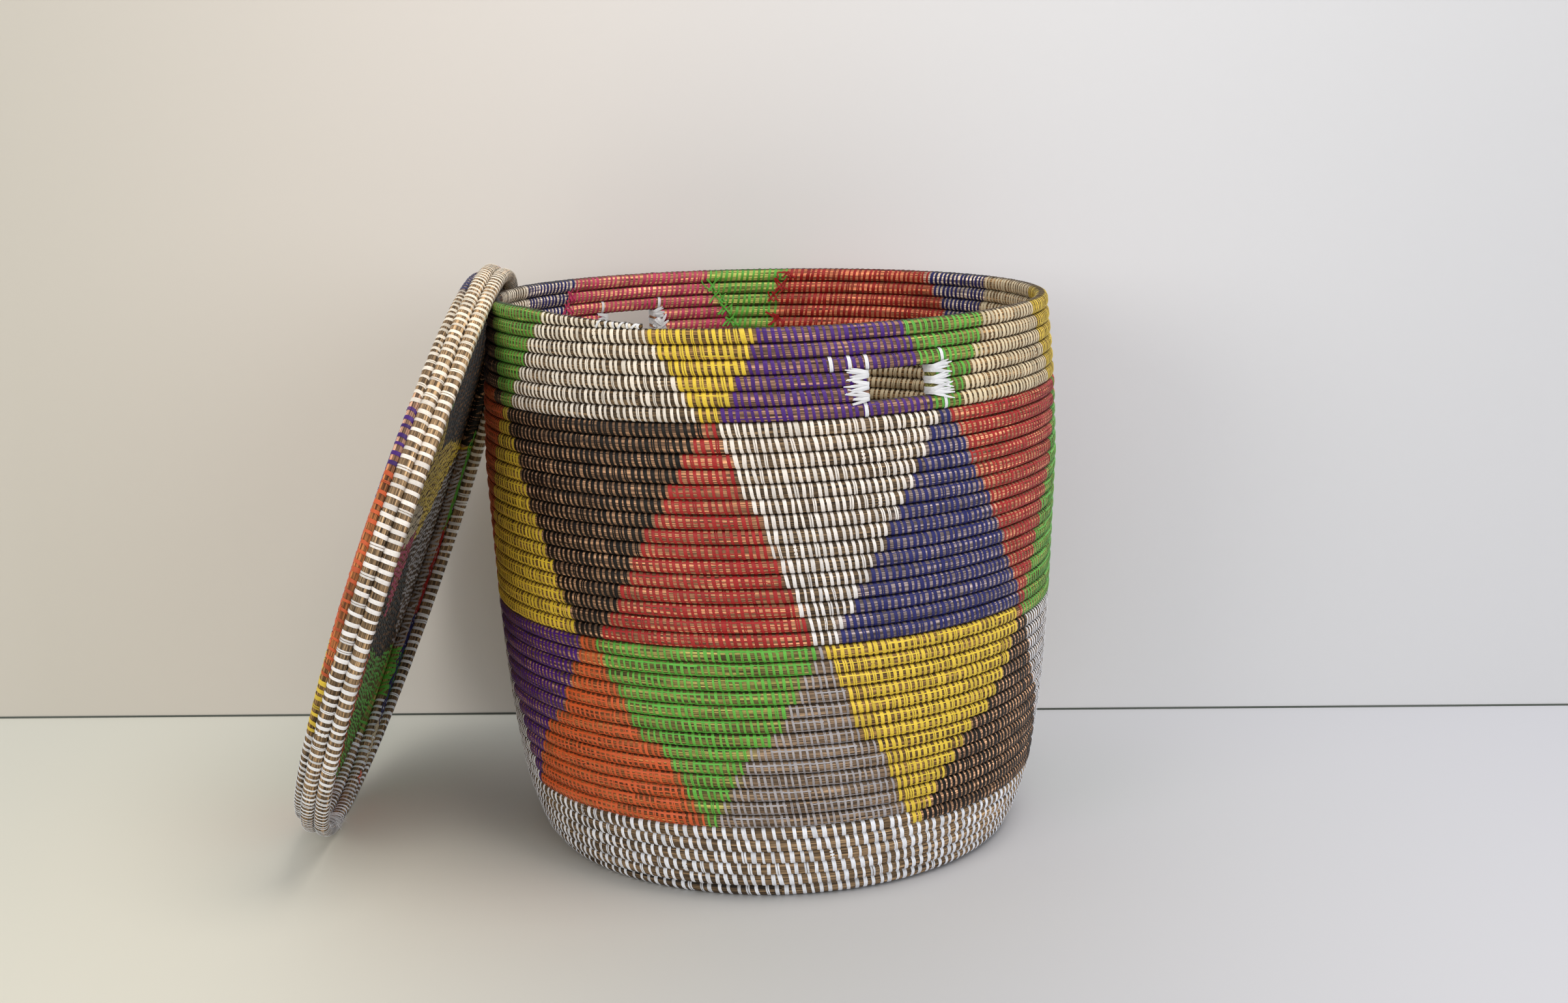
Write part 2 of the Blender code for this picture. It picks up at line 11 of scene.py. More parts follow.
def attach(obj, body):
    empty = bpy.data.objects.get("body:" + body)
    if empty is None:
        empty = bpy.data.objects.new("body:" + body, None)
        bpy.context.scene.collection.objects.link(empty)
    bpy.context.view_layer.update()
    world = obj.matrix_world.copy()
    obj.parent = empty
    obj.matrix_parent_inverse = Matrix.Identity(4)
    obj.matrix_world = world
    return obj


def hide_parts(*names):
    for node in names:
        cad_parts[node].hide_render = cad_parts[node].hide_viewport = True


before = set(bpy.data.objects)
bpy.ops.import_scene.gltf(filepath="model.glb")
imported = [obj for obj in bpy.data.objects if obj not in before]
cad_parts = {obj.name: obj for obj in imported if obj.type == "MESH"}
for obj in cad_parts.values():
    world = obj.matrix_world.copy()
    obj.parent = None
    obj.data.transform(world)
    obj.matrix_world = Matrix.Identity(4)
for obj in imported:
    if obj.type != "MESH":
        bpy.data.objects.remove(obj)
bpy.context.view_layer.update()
chance = np.random.default_rng(7)

MM = 0.001
TURN = 360.0

# Coil and outline of the basket, as in the solids
PITCH = 10.64 * MM
THICKNESS = 10.4 * MM
FOOT_RADIUS, BELLY_RADIUS, RIM_RADIUS = 183.7 * MM, 224.3 * MM, 217.5 * MM
WALL_COURSES = 40
WALL_SLANT = WALL_COURSES * PITCH
SWELL_SHARES = (
    (0.0, 0.0), (0.033, 0.185), (0.078, 0.350), (0.139, 0.522), (0.223, 0.660),
    (0.317, 0.773), (0.435, 0.862), (0.576, 0.933), (0.717, 1.0))
DRAW_IN_SHARES = ((0.717, 0.0), (0.858, 0.265), (1.0, 1.0), (1.03, 1.165))
FOOT_TURN_SHARE = 0.04
# The base's course turns up into the wall: from where, and over how many courses
TURN_UP_FROM, TURN_UP_OVER = -0.4, 1.3
PROFILE_STEPS = 400

# Angles round the basket, counter-clockwise from +X
FRONT = 270.0
COIL_END = 246.0
COLOUR_SEAM = 448.0
COIL_END_TAPER, COIL_END_THINS = 31.0, 0.75
HOLE_COURSES = (35, 36)
HOLE_SIDES = ((287.75, 300.65), (478.35, 491.25))

# Lid
LID_RADIUS = 241.1 * MM
LID_CROWN = 6.0 * MM
LID_DEPTH = 3 * PITCH
LID_LEAN, LID_YAW = 20.2, 0.7
LID_COIL_END = 189.0
LID_STEP_SHARE = 70.0 / TURN
LID_DISC_TURNS = 22.8
LID_TURNS = 25.0
LID_END_THINS = 0.85
# How much of a course the coil needs to bend from the lid's top into its rim
LID_BEND = 0.7
# Where it stands highest, its edge is flattened: inwards, the last course more, that course
# towards the rim, and all away from the rim; the place, how far round, and how many courses
LID_DIP, LID_EDGE_DIP, LID_EDGE_SINK, LID_TOP_PUSH = 7.8 * MM, 6.5 * MM, 3.0 * MM, 5.0 * MM
LID_DIP_ANGLE, LID_DIP_SPREAD, LID_DIP_TURNS = 2.0, 62.0, 6.0
# The last courses of its top sink towards the rim: everywhere, and more at one side; its
# place, how far round, and how many courses
LID_SINK, LID_SINK_MORE = 0.9 * MM, 3.2 * MM
LID_SINK_ANGLE, LID_SINK_SPREAD, LID_SINK_TURNS = 255.0, 110.0, 5.0
# The part of its rim, in turns, that is sewn in the colours of its top
LID_COLOURED = (23.50, 23.87)

# Shape of the coil: grass core, and strip lying on it
CORE_OUT, CORE_UP = 4.75 * MM, 5.33 * MM
CORE_SQUARE = 2.5
# How deep a tapered end stays where it has no height left
END_DEPTH = 0.3
STRIP_LIFT = 0.34 * MM
STRIP_CROWN = 0.16 * MM
CORE_SIDES = 16
STITCH_BENDS = 13

# Strip by colour: its colour and that of the grass between its stitches, as the eye sees
# them; width and its spread in mm, and the share of stitches that are split in two; and the
# runs of strip carried along the coil: angle round the core and width in mm
KINDS = {
    "white": ((0.93, 0.90, 0.88), (0.46, 0.39, 0.31), (2.5, 0.32, 0.10), ()),
    "cream": ((0.90, 0.83, 0.69), (0.60, 0.49, 0.36), (2.9, 0.3, 0.12), ()),
    "grey": ((0.67, 0.65, 0.66), (0.58, 0.50, 0.43), (1.65, 0.25, 0.06),
             ((30.0, 0.8), (-32.0, 0.8))),
    "green": ((0.38, 0.71, 0.25), (0.60, 0.59, 0.35), (1.95, 0.35, 0.10),
              ((37.0, 1.0), (-38.0, 1.0))),
    "yellow": ((0.92, 0.79, 0.24), (0.59, 0.47, 0.30), (2.70, 0.35, 0.30),
               ((26.0, 0.8), (-22.0, 0.8))),
    "purple": ((0.28, 0.085, 0.48), (0.63, 0.50, 0.45), (2.35, 0.35, 0.08),
               ((26.0, 0.6), (-24.0, 0.6))),
    "black": ((0.070, 0.052, 0.043), (0.71, 0.57, 0.47), (2.85, 0.3, 0.12), ()),
    "red": ((0.66, 0.11, 0.11), (0.84, 0.61, 0.48), (2.35, 0.4, 0.12),
            ((34.0, 0.9), (-30.0, 0.9), (2.0, 0.6))),
    "navy": ((0.10, 0.11, 0.39), (0.62, 0.58, 0.62), (2.6, 0.3, 0.12),
             ((36.0, 0.6), (-36.0, 0.6))),
    "orange": ((0.85, 0.37, 0.17), (0.68, 0.43, 0.26), (2.1, 0.35, 0.10),
               ((36.0, 1.3), (-38.0, 1.3), (2.0, 0.9))),
    "pink": ((0.80, 0.23, 0.40), (0.88, 0.66, 0.52), (2.4, 0.4, 0.12),
             ((34.0, 0.9), (-30.0, 0.9)))}
STRIPS, GROUNDS, WIDTHS, THREADS = (
    {name: kind[n] for name, kind in KINDS.items()} for n in range(4))
# The grass on the basket's inner face, where it differs
INNER_GROUNDS = {"navy": (0.92, 0.88, 0.86), "green": (0.68, 0.72, 0.41),
                 "red": (0.88, 0.56, 0.43)}
NAMES = list(STRIPS)

# Rows of colours in each band but the top one
FOOT_ROWS, LOWER_ROWS, MIDDLE_ROWS = 6, 13, 15


def triangle_band(rows, triangles):
    """Boundaries of triangles: (colour, its two sides in the lowest row, the two in the
    highest row, colour of the gap after it)."""
    edges = []
    for colour, low_left, low_right, high_left, high_right, after in triangles:
        edges.append((colour, low_left, (high_left - low_left) / (rows - 1)))
        edges.append((after, low_right, (high_right - low_right) / (rows - 1)))
    return edges


# Half of the long side of the even triangles at the back, and half of their tips
WIDE_REACH, LOWER_TIP_REACH, MIDDLE_TIP_REACH = 20.3, 2.0, 1.35


def even_triangles(tip_reach, triangles):
    """Upright triangles, alike on both sides: (colour, their middle, colour after them)."""
    return [(colour, middle - WIDE_REACH, middle + WIDE_REACH, middle - tip_reach,
             middle + tip_reach, after) for colour, middle, after in triangles]


LOWER_EDGES = triangle_band(LOWER_ROWS, (
    ("orange", 208.0, 254.7, 230.6, 234.1, "green"),
    ("grey", 257.4, 295.7, 277.6, 279.2, "yellow"),
    ("black", 302.5, 346.5, 327.5, 328.0, "white"),
    *even_triangles(LOWER_TIP_REACH, (
        ("green", 372.9, "purple"), ("yellow", 416.9, "orange"), ("navy", 460.9, "green"),
        ("red", 504.9, "black"))), ("white", 528.6, 566.6, 546.9, 550.9, "purple")))
MIDDLE_EDGES = triangle_band(MIDDLE_ROWS, (
    ("red", 236.2, 277.0, 257.6, 260.3, "white"), ("navy", 281.3, 326.0, 301.8, 304.6, "red"),
    ("green", 327.7, 371.0, 346.7, 349.5, "orange"),
    *even_triangles(MIDDLE_TIP_REACH, (
        ("purple", 392.3, "cream"), ("black", 436.5, "navy"), ("green", 480.6, "yellow"),
        ("white", 524.8, "orange"), ("yellow", 569.0, "black")))))
# Boundaries: colour to the right, angle in the lowest row, and its change from row to row
TOP_EDGES = (
    ("white", 211.8, 1.68), ("yellow", 256.7, -1.8), ("purple", 261.7, 1.32),
    ("green", 300.4, -0.94), ("cream", 306.8, 1.52), ("yellow", 340.5, -1.4),
    ("cream", 358.0, 1.4), ("navy", 34.4, -1.0), ("red", 40.6, 1.5), ("green", 90.5, -1.07),
    ("pink", 95.5, 1.58), ("navy", 149.8, -1.4), ("white", 156.2, 0.6), ("black", 168.0, 1.8),
    ("green", 207.0, -1.35))
# How far past the solids' seam each band of colours starts
LOWER_SHIFT, MIDDLE_SHIFT, TOP_SHIFT = -150.0, -122.0, 115.0
# Half way up the lower band its triangles step in faster: by how many rows, from which row,
# and over how many
LOWER_KNEE, LOWER_KNEE_ROW, LOWER_KNEE_ROWS = 2.57, 4.5, 2.0

# The lid's top: triangles in two rings, narrow towards its middle and wide outwards
LID_RINGS = (44.0 * MM, 139.0 * MM)
LID_INNER_ROWS, LID_OUTER_ROWS = 9, 10
LID_INNER_EDGES = triangle_band(LID_INNER_ROWS, (
    ("orange", 8.0, 16.0, -10.0, 34.0, "white"), ("yellow", 62.0, 70.0, 44.0, 92.0, "cream"),
    ("pink", 114.0, 124.0, 98.0, 139.0, "black"),
    ("purple", 172.0, 180.0, 164.0, 198.0, "green"),
    ("red", 221.0, 229.0, 203.0, 246.0, "yellow"),
    ("black", 270.0, 278.0, 250.0, 297.0, "orange"),
    ("green", 320.0, 328.0, 302.0, 345.0, "white")))
LID_OUTER_EDGES = triangle_band(LID_OUTER_ROWS, (
    ("black", 44.0, 66.0, 22.0, 80.0, "yellow"), ("grey", 104.0, 108.0, 80.5, 128.5, "black"),
    ("green", 152.0, 157.0, 129.5, 171.0, "orange"),
    ("white", 214.0, 221.0, 190.0, 245.0, "yellow"),
    ("orange", 274.0, 280.0, 257.5, 296.0, "purple"),
    ("white", 323.0, 329.0, 308.0, 343.0, "navy"),
    ("red", 364.0, 368.0, 362.0, 382.0, "green")))


def linear(colour):
    """Scene colour of one given as the eye sees it."""
    c = np.array(colour, float)
    return np.where(c <= 0.04045, c / 12.92, ((c + 0.055) / 1.055) ** 2.4)


# Outline of the coils

BASKET_AXES = np.eye(3)


def smooth_curve(table, x):
    """Value at x of a smooth curve through a table's points."""
    xs, ys = np.array(table).T
    n = np.arange(len(xs))
    a, b = np.maximum(n - 1, 0), np.minimum(n + 1, len(xs) - 1)
    slopes = (ys[b] - ys[a]) / (xs[b] - xs[a])
    k = np.clip(np.searchsorted(xs, x, side="left") - 1, 0, len(xs) - 2)
    span = xs[k + 1] - xs[k]
    t = (x - xs[k]) / span
    return ((2 * t ** 3 - 3 * t ** 2 + 1) * ys[k] + (t ** 3 - 2 * t ** 2 + t) * span * slopes[k]
            + (3 * t ** 2 - 2 * t ** 3) * ys[k + 1] + (t ** 3 - t ** 2) * span * slopes[k + 1])


def wall_profile():
    """The wall's outline: its step along the slant, and radii and heights at the steps."""
    step = (WALL_SLANT + PITCH) / PROFILE_STEPS
    share = np.arange(PROFILE_STEPS + 1) * step / WALL_SLANT
    belly = SWELL_SHARES[-1][0]
    low = FOOT_RADIUS + smooth_curve(SWELL_SHARES, np.minimum(share, belly)) * (
        BELLY_RADIUS - FOOT_RADIUS)
    high = BELLY_RADIUS - smooth_curve(DRAW_IN_SHARES, np.maximum(share, belly)) * (
        BELLY_RADIUS - RIM_RADIUS)
    radii = np.where(share < belly, low, high)
    heights = np.concatenate([[0.0], np.cumsum(np.sqrt(
        np.maximum(step ** 2 - np.diff(radii) ** 2, 0.0)))])
    return step, radii, heights


STEP, RADII, HEIGHTS = wall_profile()


def wall_section(slant, depth):
    """Radius and height of points that lie depth behind the wall's outer face."""
    place = np.clip(slant / STEP, 0.0, PROFILE_STEPS - 1.0)
    k = place.astype(int)
    part = place - k
    grow = (RADII[k + 1] - RADII[k]) / STEP
    rise = (HEIGHTS[k + 1] - HEIGHTS[k]) / STEP
    lean = np.minimum(1.0, slant / (FOOT_TURN_SHARE * WALL_SLANT))
    inward = np.stack([-rise * lean - (1.0 - lean), grow * lean])
    inward /= np.linalg.norm(inward, axis=0)
    return (RADII[k] + part * STEP * grow + inward[0] * depth,
            HEIGHTS[k] + part * STEP * rise + inward[1] * depth)


def smooth_step(t):
    """0 below 0, 1 above 1 and a smooth rise between."""
    t = np.clip(t, 0.0, 1.0)
    return t * t * (3 - 2 * t)


class Frames:
    """Places along a coil: middle, direction along, up across the rows and outwards.

    The next course lies away from the coil's middle where tilt is 0, and along rise where it
    is a quarter turn; keep is the share of its height that a tapered end keeps.
    """

    def __init__(self, middle, angle, axes, rise, tilt, keep):
        spoke, self.along = round_axes(np.radians(angle), axes)
        c, s = np.cos(tilt)[:, None], np.sin(tilt)[:, None]
        self.middle, self.up, self.out = middle, c * spoke + s * rise, s * spoke - c * rise
        self.half_up = (CORE_UP * keep)[:, None]
        self.half_out = (CORE_OUT * (END_DEPTH + (1.0 - END_DEPTH) * keep))[:, None]

    def at(self, turn, lift=0.0):
        """Points round the core, lift above it, and the ways out from there: turn is 0
        outwards and a quarter turn up."""
        c, s = np.cos(turn), np.sin(turn)
        power = 2 / CORE_SQUARE
        x = np.sign(c) * np.abs(c) ** power * (self.half_out + lift)
        y = np.sign(s) * np.abs(s) ** power * (self.half_up + lift)
        out, up = self.out[:, None], self.up[:, None]
        return (self.middle[:, None] + x[..., None] * out + y[..., None] * up,
                c[..., None] * out + s[..., None] * up)


def round_axes(turn, axes):
    """Directions away from the middle and round it, at angles in radians."""
    c, s = np.cos(turn)[..., None], np.sin(turn)[..., None]
    return c * axes[0] + s * axes[1], c * axes[1] - s * axes[0]


def placed(reach, angle, height, axes, origin=0.0):
    """Points by their distance from an axis, angle round it and height along it."""
    spoke = round_axes(np.radians(angle), axes)[0]
    return origin + reach[..., None] * spoke + height[..., None] * axes[2]


def from_angle(angle, place):
    """How far angles lie from a place, the short way round."""
    return np.abs((angle - place + TURN / 2) % TURN - TURN / 2)


def coil_slant(angle):
    """Distance of the coil's middle up the wall's slant."""
    return PITCH * ((angle - FRONT) / TURN + 0.5)


def basket_coil(angle):
    """Frames of the basket's coil at unwound angles, from the base's middle to the mouth."""
    left = COIL_END + WALL_COURSES * TURN - angle
    keep = 1.0 - COIL_END_THINS * np.clip(1.0 - left / COIL_END_TAPER, 0.0, 1.0)
    slant = coil_slant(angle) - PITCH * (1.0 - keep) / 2
    turn_up = PITCH / 2
    on_wall = np.maximum(slant, turn_up)
    radius, height = wall_section(on_wall, THICKNESS / 2)
    base = slant < turn_up
    start = wall_section(np.array([turn_up]), THICKNESS / 2)[0]
    radius = np.where(base, start + slant - turn_up, radius)
    height = np.where(base, THICKNESS / 2, height)
    e = PITCH / 8
    above = wall_section(on_wall + e, THICKNESS / 2)
    below = wall_section(np.maximum(on_wall - e, 0.0), THICKNESS / 2)
    steep = np.arctan2(above[1] - below[1], above[0] - below[0])
    steep = steep * smooth_step((slant / PITCH - TURN_UP_FROM) / TURN_UP_OVER)
    return Frames(placed(radius, angle, height, BASKET_AXES), angle, BASKET_AXES,
                  BASKET_AXES[2], steep, keep)


def lid_axes():
    """The lid's axes (up its top, across it, outwards) and the middle of its open edge."""
    lean, yaw = math.radians(LID_LEAN), math.radians(LID_YAW)
    outward = Vector((-math.cos(lean) * math.cos(yaw), -math.cos(lean) * math.sin(yaw),
                      math.sin(lean)))
    upward = (Vector((0, 0, 1)) - outward * outward.z).normalized()
    axes = np.array([upward, outward.cross(upward), outward])
    co = np.array([v.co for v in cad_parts["lid_rim_courses"].data.vertices])
    along = co @ axes.T
    low, high = along.min(0), along.max(0)
    # The rim's ring is the same on both sides of the lid's middle, and starts at its open edge
    middle = (low[0] + high[0]) / 2, (low[1] + high[1]) / 2, low[2]
    return axes, np.array(middle) @ axes


LID_AXES, LID_MIDDLE = lid_axes()


def lid_coil(angle):
    """Frames of the lid's coil, from the middle of its top to its end on the open edge."""
    turns = (angle - LID_COIL_END) / TURN
    full = LID_RADIUS - PITCH / 2
    inset = np.minimum(turns - LID_DISC_TURNS, 0.0)
    reach = np.clip(full + PITCH * inset, 0.0, full)
    away = from_angle(angle, LID_DIP_ANGLE) / LID_DIP_SPREAD
    top = smooth_step(1.0 - away) * smooth_step(1.0 + inset / LID_DIP_TURNS)
    edge = top * (turns < LID_DISC_TURNS)
    reach = reach - LID_DIP * top - LID_EDGE_DIP * edge
    course = np.floor(turns) - math.floor(LID_DISC_TURNS)
    part = turns - np.floor(turns)
    step = smooth_step((part - 1.0 + LID_STEP_SHARE) / LID_STEP_SHARE)
    drop = np.maximum(course + step, 0.0)
    last = turns >= LID_TURNS - 1.0
    keep = np.where(last, 1.0 - LID_END_THINS * step, 1.0)
    drop = np.where(last, 2.0 + (1.0 - keep) / 2, drop)
    crown = LID_CROWN * (1.0 - (reach / LID_RADIUS) ** 2)
    depth = LID_DEPTH - PITCH / 2 + crown - drop * PITCH
    depth = depth + LID_TOP_PUSH * top - LID_EDGE_SINK * edge
    away = from_angle(angle, LID_SINK_ANGLE) / LID_SINK_SPREAD
    sink = LID_SINK + LID_SINK_MORE * smooth_step(1.0 - away)
    depth = depth - sink * np.clip(1.0 - drop, 0.0, 1.0) * smooth_step(
        1.0 + inset / LID_SINK_TURNS)
    down = math.pi / 2 * np.clip(drop / LID_BEND, 0.0, 1.0)
    return Frames(placed(reach, angle, depth, LID_AXES, LID_MIDDLE), angle, LID_AXES,
                  -LID_AXES[2], down, keep)


# Colours along the coils

def row_start(row):
    """Unwound angle at which a row of colours starts, counted from the floor."""
    return COLOUR_SEAM + (row - 1) * TURN


def edge_colours(edges, angle, row):
    """Colour to the right of the nearest boundary on the left."""
    right, first, change = (np.array(column) for column in zip(*edges))
    behind = (angle[:, None] - first - change * row[:, None]) % TURN
    return np.array([NAMES.index(name) for name in right])[np.argmin(behind, axis=1)]


def lower_rows(row):
    """Rows of the lower band, counted with its triangles' faster steps."""
    last = LOWER_ROWS - 1
    count = row + LOWER_KNEE * smooth_step((row - LOWER_KNEE_ROW) / LOWER_KNEE_ROWS)
    return count * last / (last + LOWER_KNEE)


# Where the solids' bands end, and where the colours start
ROWS_BELOW_MIDDLE = FOOT_ROWS + LOWER_ROWS
ROWS_BELOW_TOP = ROWS_BELOW_MIDDLE + MIDDLE_ROWS
FOOT_END, LOWER_END, MIDDLE_END = (
    row_start(rows) for rows in (FOOT_ROWS, ROWS_BELOW_MIDDLE, ROWS_BELOW_TOP))
LOWER_START, MIDDLE_START = FOOT_END + LOWER_SHIFT, LOWER_END + MIDDLE_SHIFT
TOP_START = MIDDLE_END + TOP_SHIFT


def basket_colours(angle):
    """Number of the colour at each unwound angle of the basket's coil."""
    row = np.floor((angle - COLOUR_SEAM) / TURN) + 1
    middle = np.clip(row - ROWS_BELOW_MIDDLE, 0, MIDDLE_ROWS - 1)
    colours = np.full(len(angle), NAMES.index("white"))
    for edges, start, rows in ((LOWER_EDGES, LOWER_START, lower_rows(row - FOOT_ROWS)),
                               (MIDDLE_EDGES, MIDDLE_START, middle),
                               (TOP_EDGES, TOP_START, row - ROWS_BELOW_TOP)):
        inside = angle >= start
        colours[inside] = edge_colours(edges, angle[inside], rows[inside])
    return colours


def lid_colours(angle):
    """Number of the colour at each unwound angle of the lid's coil."""
    turns = (angle - LID_COIL_END) / TURN
    full = LID_RADIUS - PITCH / 2
    reach = np.minimum(full + PITCH * (turns - LID_DISC_TURNS + 1.0), full)
    colours = np.full(len(angle), NAMES.index("white"))
    for low, edges, rows in ((LID_RINGS[0], LID_INNER_EDGES, LID_INNER_ROWS),
                             (LID_RINGS[1], LID_OUTER_EDGES, LID_OUTER_ROWS)):
        row = np.floor((reach - low) / PITCH)
        inside = (row >= 0) & ((turns < LID_DISC_TURNS + 0.1) | (
            (turns >= LID_COLOURED[0]) & (turns < LID_COLOURED[1])))
        colours[inside] = edge_colours(edges, angle[inside],
                                       np.minimum(row, rows - 1)[inside])
    return colours


# Each body's coil and its colours
COILS = {"basket": (basket_coil, basket_colours), "lid": (lid_coil, lid_colours)}

# Meshes

def grid_faces(rows, columns, closed_rows=False, closed_columns=False):
    """Faces of a grid of points, which may be closed in either direction."""
    r = np.arange(rows if closed_rows else rows - 1)[:, None]
    c = np.arange(columns if closed_columns else columns - 1)
    next_r, next_c = (r + 1) % rows, (c + 1) % columns
    return np.stack([r * columns + c, next_r * columns + c, next_r * columns + next_c,
                     r * columns + next_c], -1).reshape(-1, 4)


def new_piece(name, points, quads, body, material, fields, ends=()):
    """A piece from arrays of points and four-cornered faces, with values at its points."""
    mesh = bpy.data.meshes.new(name)
    counts = np.array([4] * len(quads) + [len(e) for e in ends], np.int32)
    loops = np.concatenate([quads.ravel(), *ends]).astype(np.int32)
    mesh.vertices.add(len(points))
    mesh.vertices.foreach_set("co", points.astype(np.float32).ravel())
    mesh.loops.add(len(loops))
    mesh.loops.foreach_set("vertex_index", loops)
    mesh.polygons.add(len(counts))
    mesh.polygons.foreach_set("loop_start", np.concatenate([[0], np.cumsum(counts)[:-1]]))
    mesh.update(calc_edges=True)
    mesh.polygons.foreach_set("use_smooth", np.ones(len(counts), bool))
    for field, values in fields.items():
        layer = mesh.attributes.new(field, "FLOAT_VECTOR", "POINT")
        layer.data.foreach_set("vector", values.astype(np.float32).ravel())
    mesh.validate()
    item = bpy.data.objects.new(name, mesh)
    bpy.context.collection.objects.link(item)
    mesh.materials.append(material)
    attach(item, body)
    return item


# Painted light: how much paler the grass is painted between the lid's stitches towards its top,
# and over what heights, and the side of the foot where its grass is painted palest
LID_TOP_LIGHT, LID_LIGHT_FROM, LID_LIGHT_OVER = 0.6, 0.24, 0.16
FOOT_LIGHT_SIDE = 350.0
# A core's rings are this far apart, or closer near the middle of a disc
RING_GAP, SMALLEST_BEND = 9.0 * MM, 22.5 * MM
# Painted shade in the crease between two courses: where round the core it begins, how fast it
# deepens, and how much darker the grass is painted in it
CREASE_FROM, CREASE_OVER, CREASE_PAINTED_SHADE = 0.70, 0.22, 0.75


def crease_shade_share(turn):
    """How far a place round the core is into the crease between two courses, 0 to 1, which sets
    the shade painted there.
    """
    return np.clip((np.abs(np.sin(turn)) - CREASE_FROM) / CREASE_OVER, 0.0, 1.0)


def walked(points):
    """Distance along a row of points."""
    return np.concatenate([[0.0], np.cumsum(np.linalg.norm(np.diff(points, axis=0), axis=1))])


def joined(parts):
    """Several parts as one: where each starts, points, renumbered faces and point values."""
    points, quads, *values = zip(*parts)
    starts = np.cumsum([0] + [len(p) for p in points])
    return (starts, np.concatenate(points),
            np.concatenate([q + start for q, start in zip(quads, starts)]),
            *(np.concatenate(v) for v in values))


def tube(body, begin, end, light, inside, crease, painted_side_light):
    """Core of a stretch of coil: points, faces, two point values and end faces."""
    coil, colours_of = COILS[body]
    steps, angle = 1, begin
    while angle < end:
        here = coil(np.array([angle])).middle[0]
        middle = LID_MIDDLE if body == "lid" else [0, 0, here[2]]
        reach = max(np.linalg.norm(here - middle), SMALLEST_BEND)
        angle += math.degrees(RING_GAP / reach)
        steps += 1
    angles = np.linspace(begin, end, steps)
    places = coil(angles)
    turn = np.arange(CORE_SIDES) * 2 * math.pi / CORE_SIDES
    ring = places.at(turn[None, :])[0]
    start_face = np.arange(CORE_SIDES)
    ends = [start_face, start_face[::-1] + (steps - 1) * CORE_SIDES]
    where = np.stack(np.broadcast_arrays(
        walked(places.middle)[:, None], np.cos(turn) * CORE_OUT, np.sin(turn) * CORE_UP), -1)
    colours = colours_of(angles)
    inner_grounds = {**GROUNDS, **INNER_GROUNDS} if body == "basket" else GROUNDS
    outer, inner = (np.array([linear(table[name]) for name in NAMES])[colours]
                    for table in (GROUNDS, inner_grounds))
    # Painted light: the grass is painted paler by colour, towards one side of the foot, and
    # towards the lid's top
    painted_brightness = np.array([light.get(name, 1.0) for name in NAMES])[colours]
    if painted_side_light:
        painted_brightness = painted_brightness * (1.0 + painted_side_light * np.cos(np.radians(angles - FOOT_LIGHT_SIDE)))
    if body == "lid":
        height = places.middle[:, 2]
        painted_brightness = painted_brightness * (1.0 + LID_TOP_LIGHT * smooth_step(
            (height - LID_LIGHT_FROM) / LID_LIGHT_OVER))
    faces_in = smooth_step(-2.0 * np.cos(turn))[None, :, None]
    shade = outer[:, None] * (1.0 - faces_in) + inner[:, None] * inside * faces_in
    shade = shade * painted_brightness[:, None, None]
    # Painted shade: the grass is darker in the creases between courses
    shade = shade * (1.0 - CREASE_PAINTED_SHADE * crease * crease_shade_share(turn))[None, :, None]
    return (ring.reshape(-1, 3), grid_faces(steps, CORE_SIDES, closed_columns=True),
            where.reshape(-1, 3), shade.reshape(-1, 3), ends)


def core_piece(name, body, nodes, stretches, slot, light=None, inside=1.0, crease=1.0,
               painted_side_light=0.0):
    """Grass core of some nodes, its colours with painted light and shade: light makes it paler
    by colour, inside on its inner face, and the painted side light towards one side; crease is
    how dark the shade painted in its creases is."""
    tubes = [tube(body, begin, end, light or {}, inside, crease, painted_side_light)
             for begin, end in stretches]
    starts, points, quads, where, shade = joined([part[:-1] for part in tubes])
    ends = [start + face for start, part in zip(starts, tubes) for face in part[-1]]
    item = new_piece(name, points, quads, body, grass, {"coil": where, "ground": shade}, ends)
    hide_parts(*nodes)


# Tones of strip run from this to 1, and the shade painted in the creases between courses lies
# below it
CREASE_TONE = 0.3


def strands(paths, outs, widths, crown, tones, closed=False):
    """Bent flat strips: paths (count, bends, 3) with outward directions and widths, and a
    tone for each or for each bend."""
    count, bends = paths.shape[:2]
    widths = np.broadcast_to(widths, (count, bends))[..., None]
    if closed:
        ahead = np.roll(paths, -1, axis=1) - np.roll(paths, 1, axis=1)
    else:
        ahead = np.gradient(paths, axis=1)
    side = np.cross(ahead, outs)
    side /= np.maximum(np.linalg.norm(side, axis=-1, keepdims=True), 1e-12)
    half = widths / 2 * side
    points = np.stack([paths - half - outs * crown, paths, paths + half - outs * crown], 2)
    quads = grid_faces(bends, 3, closed) + np.arange(count)[:, None, None] * bends * 3
    length = np.linalg.norm(np.diff(paths, axis=1, prepend=paths[:, :1]), axis=-1).cumsum(1)
    tones = CREASE_TONE + (1.0 - CREASE_TONE) * tones.reshape(count, -1, 1)
    values = np.stack(np.broadcast_arrays(
        np.array([-1.0, 0.0, 1.0]) * widths / 2, length[..., None], tones), -1)
    return points.reshape(-1, 3), quads.reshape(-1, 4), values.reshape(-1, 3)


def strand_piece(name, body, colour, groups):
    """One piece from several groups of strands."""
    points, quads, values = joined(groups)[1:]
    return new_piece(name, points, quads, body, strips[colour], {"strip": values})


